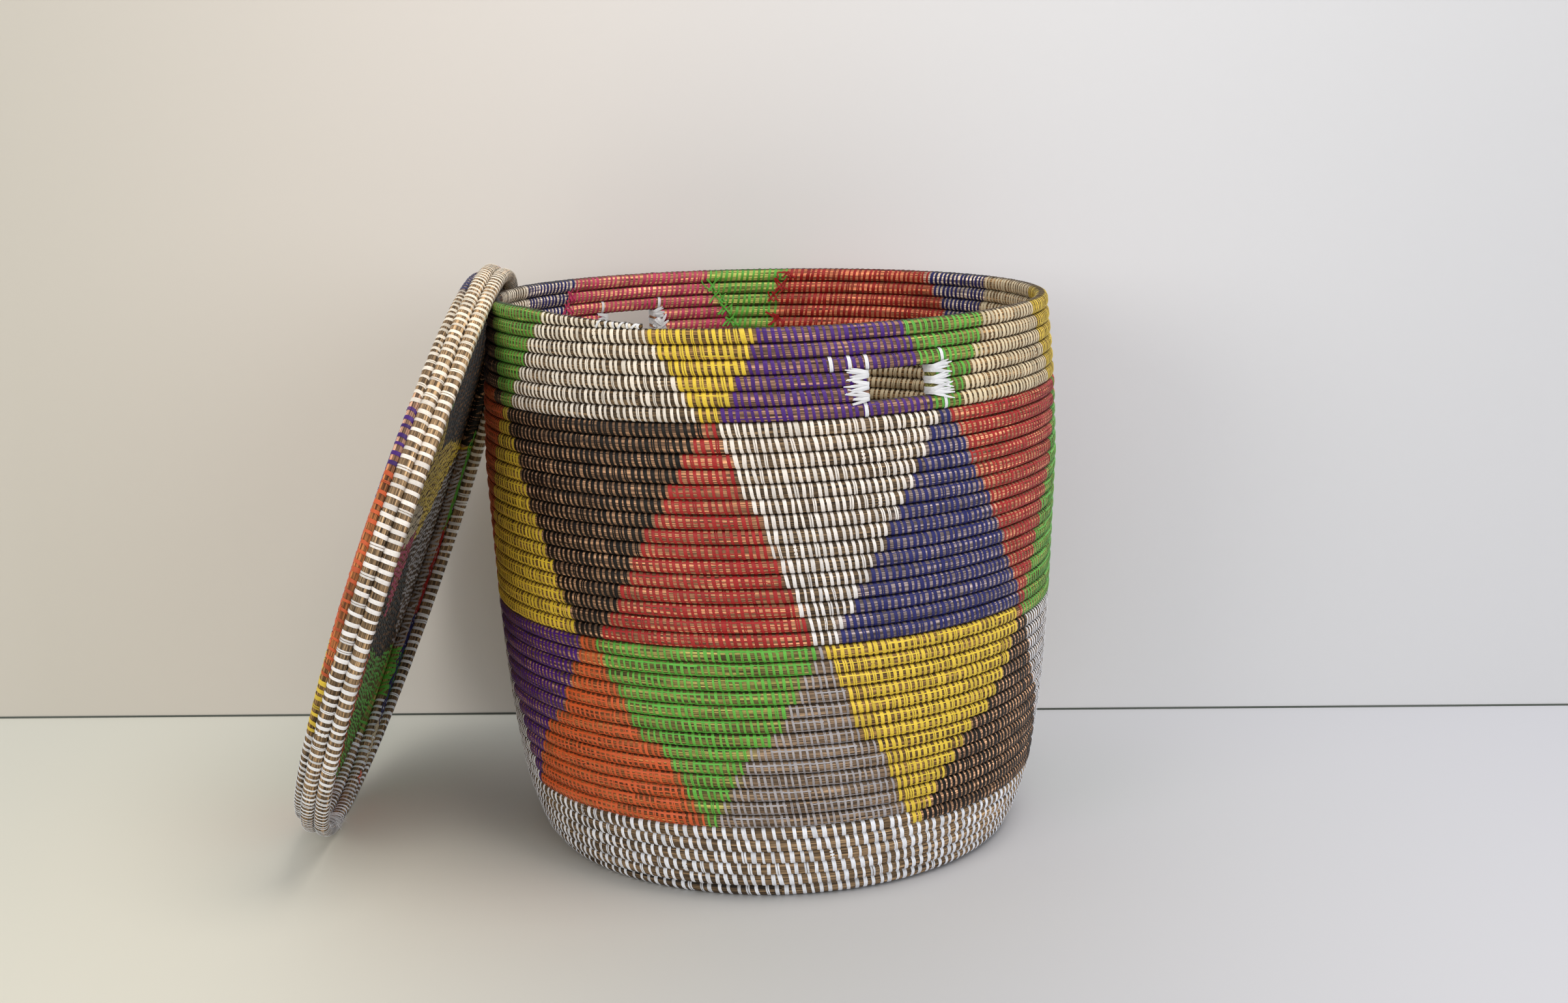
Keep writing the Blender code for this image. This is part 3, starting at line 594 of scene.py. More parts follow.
def stitches(coil, angles, widths, leans, shifts, tones, back_lean=1.0, extra_lift=0.0,
             crease=1.0):
    """Closed loops of strip round the core at given places."""
    places = coil(angles)
    turn = (np.arange(STITCH_BENDS) + 0.5) * 2 * math.pi / STITCH_BENDS
    lift = (STRIP_LIFT + extra_lift + chance.normal(0.0, 0.07 * MM, len(angles)))[:, None]
    path, out = places.at(turn[None, :], lift)
    behind = np.where(np.cos(turn) < 0, np.sin(2 * turn), 0.0)
    lean = np.sin(turn) - (back_lean - 1.0) / 2 * behind
    slip = -leans[:, None] * lean[None, :] + shifts[:, None]
    path = path + slip[..., None] * places.along[:, None]
    # Painted shade: where the strip dips into the crease between two courses its tone falls to
    # the crease shade
    crease_shade_weight = crease * crease_shade_share(turn)[None, :]
    tones = tones[:, None] * (1.0 - crease_shade_weight) - CREASE_TONE / (1.0 - CREASE_TONE) * crease_shade_weight
    return strands(path, out, widths[:, None], STRIP_CROWN, tones, closed=True)


# Narrowest and widest strip in mm
NARROWEST, WIDEST = 1.6, 3.6
# Width of each half of a split stitch, and its shift to one side, as shares of the whole
SPLIT_WIDTH, SPLIT_SHIFT = 0.44, 0.29
# Stitches that a carried run passes, how far it goes past them, the widest gap of angle
# between stitches that it still crosses, and the share of runs that are there
THREAD_STITCHES, THREAD_PAST, THREAD_CROSSES = 4, 0.06, 4.0
THREAD_SHARE = 0.86


def thread_paths(coil, angles, colours, share):
    """Strip carried along the coil, over and under the stitches of its own colour."""
    groups = {}
    reach = THREAD_STITCHES
    first = np.arange(0, len(angles) - reach)
    same = (colours[first] == colours[first + reach]) & (
        angles[first + reach] - angles[first] < reach * THREAD_CROSSES)
    for number in np.unique(colours):
        laid = []
        for turn, width in THREADS[NAMES[number]]:
            begin = first[same & (colours[first] == number) & (first % reach == 0)]
            begin = begin[chance.uniform(0.0, 1.0, len(begin)) < share]
            if not len(begin):
                continue
            steps = np.linspace(0.0, 1.0, 2 * reach + 1)
            low, high = angles[begin][:, None], angles[begin + reach][:, None]
            where = low + (high - low) * (steps * (1.0 + 2 * THREAD_PAST) - THREAD_PAST)
            places = coil(where.ravel())
            count = len(begin)
            turns = np.radians(turn + chance.normal(0.0, 3.0, (count, 1))
                               + chance.normal(0.0, 1.6, where.shape)).reshape(-1, 1)
            lifts = (0.30 * MM + chance.normal(0.0, 0.12 * MM, where.shape)).reshape(-1, 1)
            path, out = (v.reshape(*where.shape, 3) for v in places.at(turns, lifts))
            widths = width * MM * np.clip(chance.normal(1.0, 0.22, (count, 1)), 0.4, 1.6)
            laid.append(strands(path, out, widths, 0.08 * MM,
                                chance.uniform(0.45, 1.0, count)))
        if laid:
            groups[number] = laid
    return groups


def sew(prefix, body, angles, lean, slot, wide=1.0, back_lean=1.0, threads=THREAD_SHARE,
        crease=1.0):
    """All stitches at the given places, one piece for each colour: lean is their slip along
    the coil from bottom to top, and back_lean makes it steeper on the inner face."""
    coil, colours_of = COILS[body]
    colours = colours_of(angles)
    carried = thread_paths(coil, angles, colours, threads)
    for number in np.unique(colours):
        name = NAMES[number]
        here = angles[colours == number]
        middle, spread, split = WIDTHS[name]
        width = chance.normal(middle, spread, len(here))
        width = np.clip(width, NARROWEST, WIDEST) * MM * wide
        leans = chance.normal(lean, 0.25 * MM, len(here))
        tones = chance.uniform(0.0, 1.0, len(here))
        double = chance.uniform(0.0, 1.0, len(here)) < split
        zero = np.zeros(len(here))
        groups = [stitches(coil, here[~double], width[~double], leans[~double],
                           zero[~double], tones[~double], back_lean, crease=crease)]
        if double.any():
            for sign in (-1, 1):
                groups.append(stitches(
                    coil, here[double], width[double] * SPLIT_WIDTH, leans[double],
                    sign * width[double] * SPLIT_SHIFT, tones[double] * 0.9 + 0.05 * sign,
                    back_lean, crease=crease))
        groups += carried.get(number, [])
        piece = strand_piece(f"{prefix}_{name}_stitches", body, name, groups)


# Materials

class Surface:
    """A material with its nodes."""

    def __init__(self, name, gloss, roughness=0.5):
        self.material = bpy.data.materials.new(name)
        self.material.use_nodes = True
        tree = self.material.node_tree
        self.nodes, self.links = tree.nodes, tree.links
        self.shader = tree.nodes["Principled BSDF"]
        self.shader.inputs["Specular IOR Level"].default_value = gloss
        self.shader.inputs["Roughness"].default_value = roughness

    def feed(self, name, source):
        """Feeds an input of the shader."""
        self.links.new(source, self.shader.inputs[name])

    def add(self, kind, *sources, **values):
        """A new node with its values, its first inputs fed from the sources."""
        made = self.nodes.new(kind)
        for key, value in values.items():
            if key in made.inputs:
                made.inputs[key].default_value = value
            else:
                setattr(made, key, value)
        for socket, source in zip(made.inputs, sources):
            self.links.new(source, socket)
        return made

    def along(self, axis):
        """Place on an axis of the object."""
        place = self.add("ShaderNodeTexCoord").outputs["Object"]
        return self.add("ShaderNodeSeparateXYZ", place).outputs[axis]

    def noise(self, vector, scale, detail, roughness):
        """Noise that is finer along each axis by its scale."""
        stretch = self.add("ShaderNodeVectorMath", vector, operation="MULTIPLY")
        stretch.inputs[1].default_value = scale
        return self.add("ShaderNodeTexNoise", stretch.outputs[0], Scale=1.0, Detail=detail,
                        Roughness=roughness).outputs[0]

    def ramp(self, source, stops, interpolation="LINEAR"):
        """Colour by value: stops are (value, colour)."""
        made = self.add("ShaderNodeValToRGB", source)
        made.color_ramp.interpolation = interpolation
        elements = made.color_ramp.elements
        while len(elements) < len(stops):
            elements.new(0.5)
        for element, (place, colour) in zip(elements, stops):
            element.position = place
            element.color = (*colour, 1)
        return made.outputs[0]

    def multiply(self, first, second, share=1.0):
        """First colour times second, or a share of that change."""
        made = self.add("ShaderNodeMixRGB", blend_type="MULTIPLY")
        made.inputs[0].default_value = share
        self.links.new(first, made.inputs[1])
        self.links.new(second, made.inputs[2])
        return made.outputs[0]

    def relief(self, source, strength, distance):
        """Fine relief that follows a value."""
        bump = self.add("ShaderNodeBump", Strength=strength, Distance=distance)
        self.links.new(source, bump.inputs["Height"])
        self.feed("Normal", bump.outputs[0])


# Painted light: white strip is painted yellower the higher it is, for the warm light from
# above, and bluer low down: height, and colour as the eye sees it
PAINTED_WHITE_LIGHT_BY_HEIGHT = ((0.05, (0.96, 0.97, 1.0)), (0.24, (0.93, 0.91, 0.90)),
                   (0.34, (0.96, 0.92, 0.88)), (0.42, (0.98, 0.93, 0.85)))
# Painted shade: what of its colour is left where a strip dips between two courses
CREASE_SHADE = np.array([0.15, 0.12, 0.10])
# Tone of the stitches that have the strip's own colour: the others are paler or darker
OWN_TONE = CREASE_TONE + (1.0 - CREASE_TONE) * 0.35
DARK_STITCH, PALE_STITCH, PALE_ADDS = 0.80, 1.12, 0.003
# How fine the creases along a strip are: across it, along it, and from stitch to stitch
STRIP_GRAIN = (2200.0, 90.0, 61.0)
STRIP_ROUGHNESS = {"To Min": 0.34, "To Max": 0.56}
STRIP_GLOSS, BLACK_GLOSS = 0.42, 0.25


def strip_material(name, colour):
    """Plastic strip: a tone for each stitch, with shade painted where it dips between two
    courses, and fine creases along it, painted darker too.
    """
    made = Surface("strip_" + name, BLACK_GLOSS if name == "black" else STRIP_GLOSS)
    place = made.add("ShaderNodeAttribute", attribute_name="strip").outputs["Vector"]
    creases = made.noise(place, STRIP_GRAIN, 3.0, 0.6)
    base = linear(colour)
    # The lowest tones are painted shade in the creases between courses; the rest differ from
    # stitch to stitch
    tones = made.ramp(made.add("ShaderNodeSeparateXYZ", place).outputs["Z"], (
        (0.0, base * CREASE_SHADE), (CREASE_TONE, base * DARK_STITCH), (OWN_TONE, base),
        (1.0, np.clip(base * PALE_STITCH + PALE_ADDS, 0, 1))))
    # Darker along the strip's fine creases: painted shade in them, and a tone that differs at
    # random like grain
    grain_and_crease_shade = made.ramp(creases, ((0.3, (0.62, 0.6, 0.58)), (0.62, (1.0, 1.0, 1.0))))
    face = made.multiply(tones, grain_and_crease_shade, 0.5)
    # Painted light on white strip, by its height
    if name == "white":
        face = made.multiply(face, made.ramp(made.along("Z"), [
            (height, linear(tint) / base) for height, tint in PAINTED_WHITE_LIGHT_BY_HEIGHT]))
    made.feed("Base Color", face)
    made.feed("Roughness", made.add("ShaderNodeMapRange", creases,
                                    **STRIP_ROUGHNESS).outputs[0])
    made.relief(creases, 0.55, 0.25 * MM)
    return made.material


# How fine the straws and the bunches of straws are: along the coil, outwards and upwards
STRAWS, BUNCHES = (34.0, 1500.0, 1500.0), (14.0, 520.0, 520.0)


def grass_material():
    """Bundled grass: long fibres of many browns, taking the cast of the strip round them."""
    made = Surface("grass_core", 0.3, 0.72)
    place = made.add("ShaderNodeAttribute", attribute_name="coil").outputs["Vector"]
    ground = made.add("ShaderNodeAttribute", attribute_name="ground").outputs["Color"]
    straws, bunches = (made.noise(place, scale, 2.0, 0.55) for scale in (STRAWS, BUNCHES))
    face = made.multiply(ground, made.ramp(straws, (
        (0.34, (0.20, 0.17, 0.14)), (0.50, (0.72, 0.69, 0.64)), (0.68, (1.75, 1.67, 1.52)))))
    made.feed("Base Color", made.multiply(face, made.ramp(bunches, (
        (0.40, (0.50, 0.47, 0.43)), (0.60, (1.32, 1.27, 1.18))))))
    made.relief(straws, 0.8, 0.5 * MM)
    return made.material


grass = grass_material()
strips = {name: strip_material(name, colour) for name, colour in STRIPS.items()}
strips["plain"] = strip_material("plain", (0.90, 0.90, 0.91))

# Basket's core

# A disc's coil starts this angle after its middle, and its stitches this much later
COIL_START, SEWN_FROM = 20.0, 60.0
WALL_END = COIL_END + WALL_COURSES * TURN
BASE_START = FRONT - TURN * (
    float(wall_section(np.array([PITCH / 2]), THICKNESS / 2)[0][0]) / PITCH) + COIL_START
# Where the hand holes cut the coil
CUTS = sorted((course * TURN + low, course * TURN + high)
              for course in HOLE_COURSES for low, high in HOLE_SIDES)
# The sill ends and the rim begins at the coil's end angle, as the solids do
SILL_END = HOLE_COURSES[0] * TURN + COIL_END
RIM_START = (HOLE_COURSES[1] + 1) * TURN + COIL_END
# Stretches between them, in turn left and right of the front hole
side_ends = [SILL_END] + [angle for cut in CUTS for angle in cut] + [RIM_START]
BESIDE = list(zip(side_ends[0::2], side_ends[1::2]))
# Their grass takes painted light by colour, and on the foot towards one side as well
for name, node, stretches, slot, finish in (
        ("base_grass", "base_coil", [(BASE_START, FRONT)], "white_strip_coil", {}),
        ("foot_grass", "foot_courses", [(FRONT, FOOT_END)], "white_strip_coil",
         {"light": {"white": 1.5}, "crease": 0.5, "painted_side_light": 0.45}),
        ("lower_band_grass", "lower_band_courses", [(FOOT_END, LOWER_END)],
         "lower_band_strip_coil", {"light": {"black": 1.6}}),
        ("middle_band_grass", "middle_band_courses", [(LOWER_END, MIDDLE_END)],
         "middle_band_strip_coil", {"light": {"black": 0.85}}),
        ("hand_hole_sill_grass", "hand_hole_sill_course", [(MIDDLE_END, SILL_END)],
         "top_band_strip_coil", {}),
        ("hand_hole_left_grass", "hand_hole_courses_left", BESIDE[0::2],
         "top_band_strip_coil", {"inside": 1.25}),
        ("hand_hole_right_grass", "hand_hole_courses_right", BESIDE[1::2],
         "top_band_strip_coil", {"inside": 1.25}),
        ("rim_grass", "rim_courses", [(RIM_START, WALL_END)], "top_band_strip_coil",
         {"inside": 1.25})):
    core_piece(name, "basket", [node], stretches, slot, **finish)

# Basket's stitches

WALK_STEPS = 60000


def walk(coil, begin, end, gap):
    """Unwound angles of stitches: gap is their distance apart, or gives it by angle."""
    grid = np.linspace(begin, end, WALK_STEPS)
    length = walked(coil(grid).middle)
    gaps = gap(grid)[1:] if callable(gap) else gap
    count = np.concatenate([[0.0], np.cumsum(np.diff(length) / gaps)])
    at = np.arange(0.5, count[-1] - 0.3)
    at = at + chance.normal(0.0, 0.055, len(at))
    return np.interp(at, count, grid)


# Angle that stitches keep from the hand holes
HOLE_MARGIN = 0.5


def clear_of_holes(angles):
    """The angles that aren't in a hand hole or close to one."""
    keep = np.ones(len(angles), bool)
    for low, high in CUTS:
        keep &= (angles < low - HOLE_MARGIN) | (angles > high + HOLE_MARGIN)
    return angles[keep]


# Stitches to a turn, with the share by which each course slips past the one below
FOOT_STITCHES, BAND_STITCHES = 176.42, 272.42
# How far the stitches lean along the coil, and the gap between the base's
WALL_LEAN, FOOT_LEAN, BASE_GAP = 1.1 * MM, 0.9 * MM, 7.0 * MM


def even_angles(begin, end, stitches_a_turn):
    """Stitches that keep one number to the turn, so that they stand over each other."""
    step = TURN / stitches_a_turn
    angles = np.arange(begin + step / 2, end - step / 4, step)
    return angles + chance.normal(0.0, 0.05 * step, len(angles))


sew("base", "basket", walk(basket_coil, BASE_START + SEWN_FROM, FRONT, BASE_GAP),
    WALL_LEAN, "white_strip_coil", crease=0.5)
for prefix, begin, end, stitches_a_turn, lean, slot, finish in (
        ("foot", FRONT, LOWER_START, FOOT_STITCHES, FOOT_LEAN, "white_strip_coil",
         {"wide": 1.16, "crease": 0.5}),
        ("lower_band", LOWER_START, MIDDLE_START, BAND_STITCHES, WALL_LEAN,
         "lower_band_strip_coil", {}),
        ("middle_band", MIDDLE_START, MIDDLE_END, BAND_STITCHES, WALL_LEAN,
         "middle_band_strip_coil", {}),
        ("top_band", MIDDLE_END, WALL_END, BAND_STITCHES, WALL_LEAN,
         "top_band_strip_coil", {"threads": 0.15})):
    sew(prefix, "basket", clear_of_holes(even_angles(begin, end, stitches_a_turn)), lean,
        slot, **finish)

# Strips bound round the coil's ends at the hand holes

# Fans at a hole's side: their places up its height, strips to each, and a strip's crown
LASH_PLACES, LASH_STRANDS, LASH_CROWN = (0.13, 0.5, 0.87), 7, 0.18 * MM
LASH_REACH = 15.0 * MM
KNOT_STRANDS, KNOT_BENDS = 11, 7
# A fan's path bend by bend, over the outer face, round the coil's ends and over the inner
# face: share of its reach, the reach, share of its fanning out, facing, and width
LASH_SHARES = np.array([1.0, 0.7, 0.42, 0.18, 0.0, -0.5, -0.5, 0.0, 0.2, 0.5, 0.8])
LASH_SPANS = np.array([LASH_REACH] * 5 + [1.6 * MM] * 2 + [LASH_REACH * 0.8] * 4)
LASH_FANS = np.array([1.0, 0.72, 0.42, 0.16, 0.0, 0.0, 0.0, 0.0, 0.2, 0.5, 0.8])
LASH_FACING = np.radians([0, 0, 0, 0, 35, 75, 105, 145, 180, 180, 180])[:, None]
LASH_WIDTHS = np.array([0.7, 1.7, 2.3, 2.5, 2.5, 2.4, 2.4, 2.5, 2.4, 1.9, 0.8]) * MM


def wall_spot(slant, angle, depth):
    """Points behind the wall's outer face."""
    radius, height = wall_section(slant, depth)
    return placed(radius, angle, height, BASKET_AXES)


def inner_strands(paths, widths, crown, tones):
    """Strands on the wall's inner face."""
    paths = np.array(paths)
    inward = -paths * [1.0, 1.0, 0.0]
    inward /= np.linalg.norm(inward, axis=-1, keepdims=True)
    return strands(paths, inward, widths, crown, tones)


def knot(slant, edge, side):
    """Short strips crossing over each other on the inner face, beside a hole."""
    steps = np.linspace(-1.0, 1.0, KNOT_BENDS)
    paths = []
    for n in range(KNOT_STRANDS):
        way, reach = chance.uniform(-1.2, 1.2), chance.uniform(4.0, 8.5) * MM
        along = chance.normal(5.0, 1.6) * MM + reach * steps * math.cos(way)
        across = chance.normal(0.0, 2.4) * MM + reach * steps * math.sin(way)
        lift = (0.5 + 0.22 * n + (1.0 - steps ** 2) * chance.uniform(0.6, 1.8)) * MM
        paths.append(wall_spot(slant + across, edge + side * np.degrees(along / RIM_RADIUS),
                               THICKNESS + lift))
    wide = chance.uniform(1.8, 3.0, (KNOT_STRANDS, 1)) * MM * (1.0 - 0.5 * steps ** 4)
    return inner_strands(paths, wide, LASH_CROWN, chance.uniform(0.4, 1.0, KNOT_STRANDS))


def lashing(name, nodes, edge, side, knotted):
    """Fans of strip from the wall's outer face round the coil's ends to its inner face.

    edge is the hole's side in its lowest course and side is +1 where the coil lies at
    greater angles.
    """
    low = coil_slant(np.array([edge]))[0] - PITCH / 2
    high = low + len(HOLE_COURSES) * PITCH
    paths, outs, widths = [], [], []
    for middle in LASH_PLACES:
        for n in range(LASH_STRANDS):
            spread = 2 * n / (LASH_STRANDS - 1) - 1.0
            reach = chance.uniform(0.72, 1.22)
            slant = (low + (high - low) * middle + spread * 1.5 * MM
                     + spread * LASH_FANS * chance.uniform(2.4, 4.6) * MM
                     + LASH_FANS * chance.normal(0.0, 0.8 * MM))
            away = LASH_SHARES * LASH_SPANS * reach + chance.normal(
                0.0, 0.25 * MM, len(LASH_SHARES))
            lift = (0.5 + 0.5 * chance.uniform() + 0.25 * (n % 3)) * MM
            depth = np.array([-lift * 0.55, -lift, -lift, -lift, -lift * 0.9, 1.8 * MM,
                              THICKNESS - 1.8 * MM, THICKNESS + lift * 0.9, THICKNESS + lift,
                              THICKNESS + lift, THICKNESS + lift * 0.55])
            angle = edge + side * np.degrees(away / RIM_RADIUS)
            spoke, along = round_axes(np.radians(angle), BASKET_AXES)
            paths.append(wall_spot(slant, angle, depth))
            outs.append(np.cos(LASH_FACING) * spoke - side * np.sin(LASH_FACING) * along)
            widths.append(LASH_WIDTHS * chance.uniform(0.75, 1.1))
    tones = chance.uniform(0.25, 1.0, len(paths))
    groups = [strands(np.array(paths), np.array(outs), np.array(widths), LASH_CROWN, tones)]
    if knotted:
        groups.append(knot((low + high) / 2, edge, side))
    item = strand_piece(name, "basket", "plain", groups)
    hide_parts(*nodes)


for place, sides in zip(("front", "back"), HOLE_SIDES):
    for label, edge, side in zip(("first", "second"), sides, (-1, 1)):
        lashing(f"{place}_{label}_lashing_strands", [f"hand_hole_lashing_{place}_{label}"],
                HOLE_COURSES[0] * TURN + edge, side, (place, label) == ("back", "first"))

# Single stitches of white strip over the courses above and below the hand holes
ABOVE, BELOW = (HOLE_COURSES[1] + 1) * TURN, (HOLE_COURSES[0] - 1) * TURN
SINGLES = ((ABOVE, 281.0), (ABOVE, 284.4), (ABOVE, 287.6), (BELOW, 287.2), (BELOW, 303.4),
           (ABOVE, 303.0), (ABOVE, 477.0), (ABOVE, 492.6), (BELOW, 476.6), (BELOW, 493.0))
# Strip lacing the coil's thin end down to the course below it: angles from the end
LACING = (-9.0, -7.2, -5.6, -4.1, -2.6, -1.3, 0.2, 1.6)
LACING_STOP = WALL_END - 0.4


def few_stitches(angles, width, leans, tones, lift):
    """Stitches set one by one on the basket's coil."""
    ones = np.ones(len(angles))
    return stitches(basket_coil, angles, ones * width, ones * leans, ones * 0.0, ones * tones,
                    extra_lift=lift)


singles = [few_stitches(np.array([course + angle for course, angle in SINGLES]), 2.6 * MM,
                        0.8 * MM, 0.9, 0.35 * MM)]
lacing = np.minimum(WALL_END + np.array(LACING), LACING_STOP)
singles.append(few_stitches(lacing, 1.8 * MM, chance.normal(0.0, 2.4 * MM, len(lacing)),
                            chance.uniform(0.4, 1.0, len(lacing)), 0.45 * MM))
strand_piece("hand_hole_single_stitches", "basket", "plain", singles)

# Strip ends drawn through on the inner face, where one colour takes over from another
CHANGES = (("red", 90.5, -1.07), ("green", 95.5, 1.58), ("pink", 149.8, -1.4))
CHANGE_ROWS = range(2, 6)
CHANGE_STRANDS, CHANGE_BENDS = 4, 7
for colour, first, change in CHANGES:
    paths = []
    for row in CHANGE_ROWS:
        angle = first + change * row
        here = row_start(ROWS_BELOW_TOP + row) + (angle - COLOUR_SEAM) % TURN
        slant = coil_slant(here)
        # Those on the rim's last course end below its top
        highest = 0.3 if here > WALL_END - TURN else 1.0
        for n in range(CHANGE_STRANDS):
            steps = np.linspace(0.0, 1.0, CHANGE_BENDS)
            sign = -1.0 if (row + n) % 2 else 1.0
            run = chance.uniform(0.7, 1.5) * sign
            bow = np.sin(steps * math.pi) * chance.normal(0.0, 0.3)
            turn = angle + chance.normal(0.0, 0.5) + run * (steps - 0.5) * 2 + bow
            up = slant + PITCH * np.minimum(steps * chance.uniform(0.7, 1.15) - 0.15, highest)
            sink = 0.5 * MM + 0.3 * MM * n - 1.1 * MM * np.exp(-((steps - 0.5) / 0.17) ** 2)
            paths.append(wall_spot(up, turn, THICKNESS + sink))
    wide = chance.uniform(1.0, 1.9, (len(paths), 1)) * MM
    group = inner_strands(paths, wide, 0.12 * MM, chance.uniform(0.5, 1.0, len(paths)))
    piece = strand_piece(f"rim_{colour}_ends", "basket", colour, [group])

# Lid

# Gaps between stitches: on the rim, on the top, and on the rim's far side; the top has the
# rim's gaps over its last course and a bit
LID_GAP, LID_TOP_GAP, LID_FAR_GAP = 7.0 * MM, 5.2 * MM, 4.42 * MM
LID_WIDE_GAPS = 1.1 * TURN
LID_START = LID_COIL_END + TURN * (
    LID_DISC_TURNS - (LID_RADIUS - PITCH / 2) / PITCH) + COIL_START
LID_RIM_START = LID_COIL_END + TURN * LID_DISC_TURNS
# The coil's thin end stops short of the course's end
LID_RIM_END = LID_COIL_END + TURN * LID_TURNS - 8.0
# Where the top's colours begin and end on the rim
LID_SEAMS = [LID_COIL_END + TURN * turns for turns in LID_COLOURED]
TOP_SEWING = {"wide": 1.2, "back_lean": 10.0, "threads": 0.3, "crease": 0.45}
TOP_LEAN, RIM_LEAN = 0.4 * MM, 0.5 * MM
# Painted light and shade: its grass is painted paler by colour, and darker on its inner face,
# for the shade under the lid's top
core_piece("lid_top_grass", "lid", ["lid_disc_coil"], [(LID_START, LID_RIM_START)],
           "lid_top_strip_coil", inside=0.5, crease=0.5,
           light={"white": 1.5, "purple": 2.0, "orange": 1.6, "yellow": 1.3})
# Painted light: the grass under the rim's white strip is painted paler
core_piece("lid_rim_grass", "lid", ["lid_rim_courses"], [(LID_RIM_START, LID_RIM_END)],
           "white_strip_coil", light={"white": 1.75}, crease=0.5)
sew("lid_top", "lid",
    walk(lid_coil, LID_START + SEWN_FROM, LID_RIM_START,
         lambda a: np.where(a < LID_RIM_START - LID_WIDE_GAPS, LID_TOP_GAP, LID_GAP)),
    TOP_LEAN, "lid_top_strip_coil", **TOP_SEWING)
for low, high in ((LID_RIM_START, LID_SEAMS[0]), (LID_SEAMS[1], LID_RIM_END)):
    sew(f"lid_rim_{round(low)}", "lid", walk(lid_coil, low, high, LID_GAP), RIM_LEAN,
        "white_strip_coil", wide=1.2, back_lean=2.0, crease=0.45)
# The rim's far side shows the same slanting strip on its inner face as the top
sew("lid_rim_far", "lid", walk(lid_coil, *LID_SEAMS, LID_FAR_GAP), TOP_LEAN,
    "white_strip_coil", **TOP_SEWING)

# Strips bound over the lid's open edge where its coil ends, with loose ends inside
TIE_ANGLE, TIE_SPREAD = 191.5, 4.6
TIE_WRAPS, TIE_ENDS, TIE_END_BENDS = 13, 7, 7


def lid_strands(reach, depth, facing, angles, widths, tones):
    """Strands on the lid: reach, depth and facing (0 is away from the middle) along them."""
    angles, facing = (np.broadcast_to(a, reach.shape) for a in (angles, np.radians(facing)))
    spoke = round_axes(np.radians(angles), LID_AXES)[0]
    out = np.cos(facing)[..., None] * spoke + np.sin(facing)[..., None] * LID_AXES[2]
    paths = placed(reach, angles, depth, LID_AXES, LID_MIDDLE)
    return strands(paths, out, widths, 0.15 * MM, tones)


def lid_tie():
    """Wraps over the open edge, and the ends that hang down inside."""
    bend = np.radians(np.linspace(0.0, -180.0, 9))
    middle = LID_RADIUS - THICKNESS / 2
    count = TIE_WRAPS
    lift = (0.7 * MM + 0.22 * MM * (np.arange(count) % 4))[:, None]
    half = THICKNESS / 2 + lift
    tall = chance.uniform(7.0, 15.0, (count, 2)) * MM
    side = np.full((count, 1), PITCH / 2)
    reach = np.hstack([middle + half * 0.9, middle + half, middle + half * np.cos(bend),
                       middle - half, middle - half * 0.9])
    depth = np.hstack([side + tall[:, :1], side + tall[:, :1] / 2, side + half * np.sin(bend),
                       side + tall[:, 1:] / 2, side + tall[:, 1:]])
    facing = np.degrees(np.concatenate([[0.0, 0.0], bend, [math.pi] * 2]))
    start = TIE_ANGLE + chance.uniform(-TIE_SPREAD, TIE_SPREAD, (count, 1))
    lean = chance.normal(0.0, 1.3, (count, 1)) * np.linspace(-1.0, 1.0, reach.shape[1])
    wraps = lid_strands(reach, depth, facing, start + lean,
                        chance.uniform(1.7, 2.7, (count, 1)) * MM,
                        chance.uniform(0.2, 1.0, count))
    count = TIE_ENDS
    steps = np.linspace(0.0, 1.0, TIE_END_BENDS)
    sway = chance.normal(0.0, 1.1 * MM, (count, 1)) * steps
    reach = middle - THICKNESS / 2 - 1.1 * MM + sway + 3.0 * MM * steps ** 3
    depth = 11.0 * MM - chance.uniform(13.0, 17.0, (count, 1)) * MM * steps + sway
    angles = TIE_ANGLE - 1.0 + chance.uniform(-3.0, 3.0, (count, 1)) + chance.normal(
        0.0, 1.6, (count, 1)) * steps
    widths = chance.uniform(1.2, 2.2, (count, 1)) * MM * (1.0 - 0.7 * steps ** 3)
    ends = lid_strands(reach, depth, 190.0, angles, widths, chance.uniform(0.2, 0.9, count))
    item = strand_piece("lid_end_tie_strands", "lid", "plain", [wraps, ends])
    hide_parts("lid_end_tie")


lid_tie()

# Tails of coloured strip in the crease between the two courses of the lid's rim: colour and
# the angles of its ends; and its strips' angles round the core, and widths in mm
TAILS = (("green", 74.0, 101.0), ("red", 96.0, 123.0), ("navy", 120.0, 150.0),
         ("orange", 163.0, 171.0), ("cream", 146.0, 164.0))
TAIL_STRIPS = ((138.0, 1.2), (150.0, 0.9), (128.0, 0.8))
# Angle from bend to bend, and the course that they run on
TAIL_BEND, TAIL_COURSE = 1.2, math.floor(LID_DISC_TURNS) + 1
for colour, low, high in TAILS:
    groups = []
    for turn, width in TAIL_STRIPS:
        begin, end = low + chance.uniform(0.0, 5.0), high - chance.uniform(0.0, 5.0)
        bends = int((end - begin) / TAIL_BEND) + 3
        where = LID_COIL_END + TAIL_COURSE * TURN + (
            np.linspace(begin, end, bends) - LID_COIL_END) % TURN
        places = lid_coil(where)
        turns = np.radians(turn + chance.normal(0.0, 6.0, bends))[:, None]
        path, out = (v.reshape(1, bends, 3) for v in places.at(
            turns, chance.uniform(0.2, 1.0, bends)[:, None] * MM))
        wide = width * MM * np.clip(chance.normal(1.0, 0.25, (1, bends)), 0.5, 1.5)
        groups.append(strands(path, out, wide, 0.1 * MM, chance.uniform(0.0, 0.4, 1)))
    strand_piece(f"lid_{colour}_tail", "lid", colour, groups)

# Floor, wall, light and camera

FAR = 12.0
WALL_PLACE, WALL_SLOPE = 0.2555, -0.056
FLOOR_DROP = -0.6 * MM
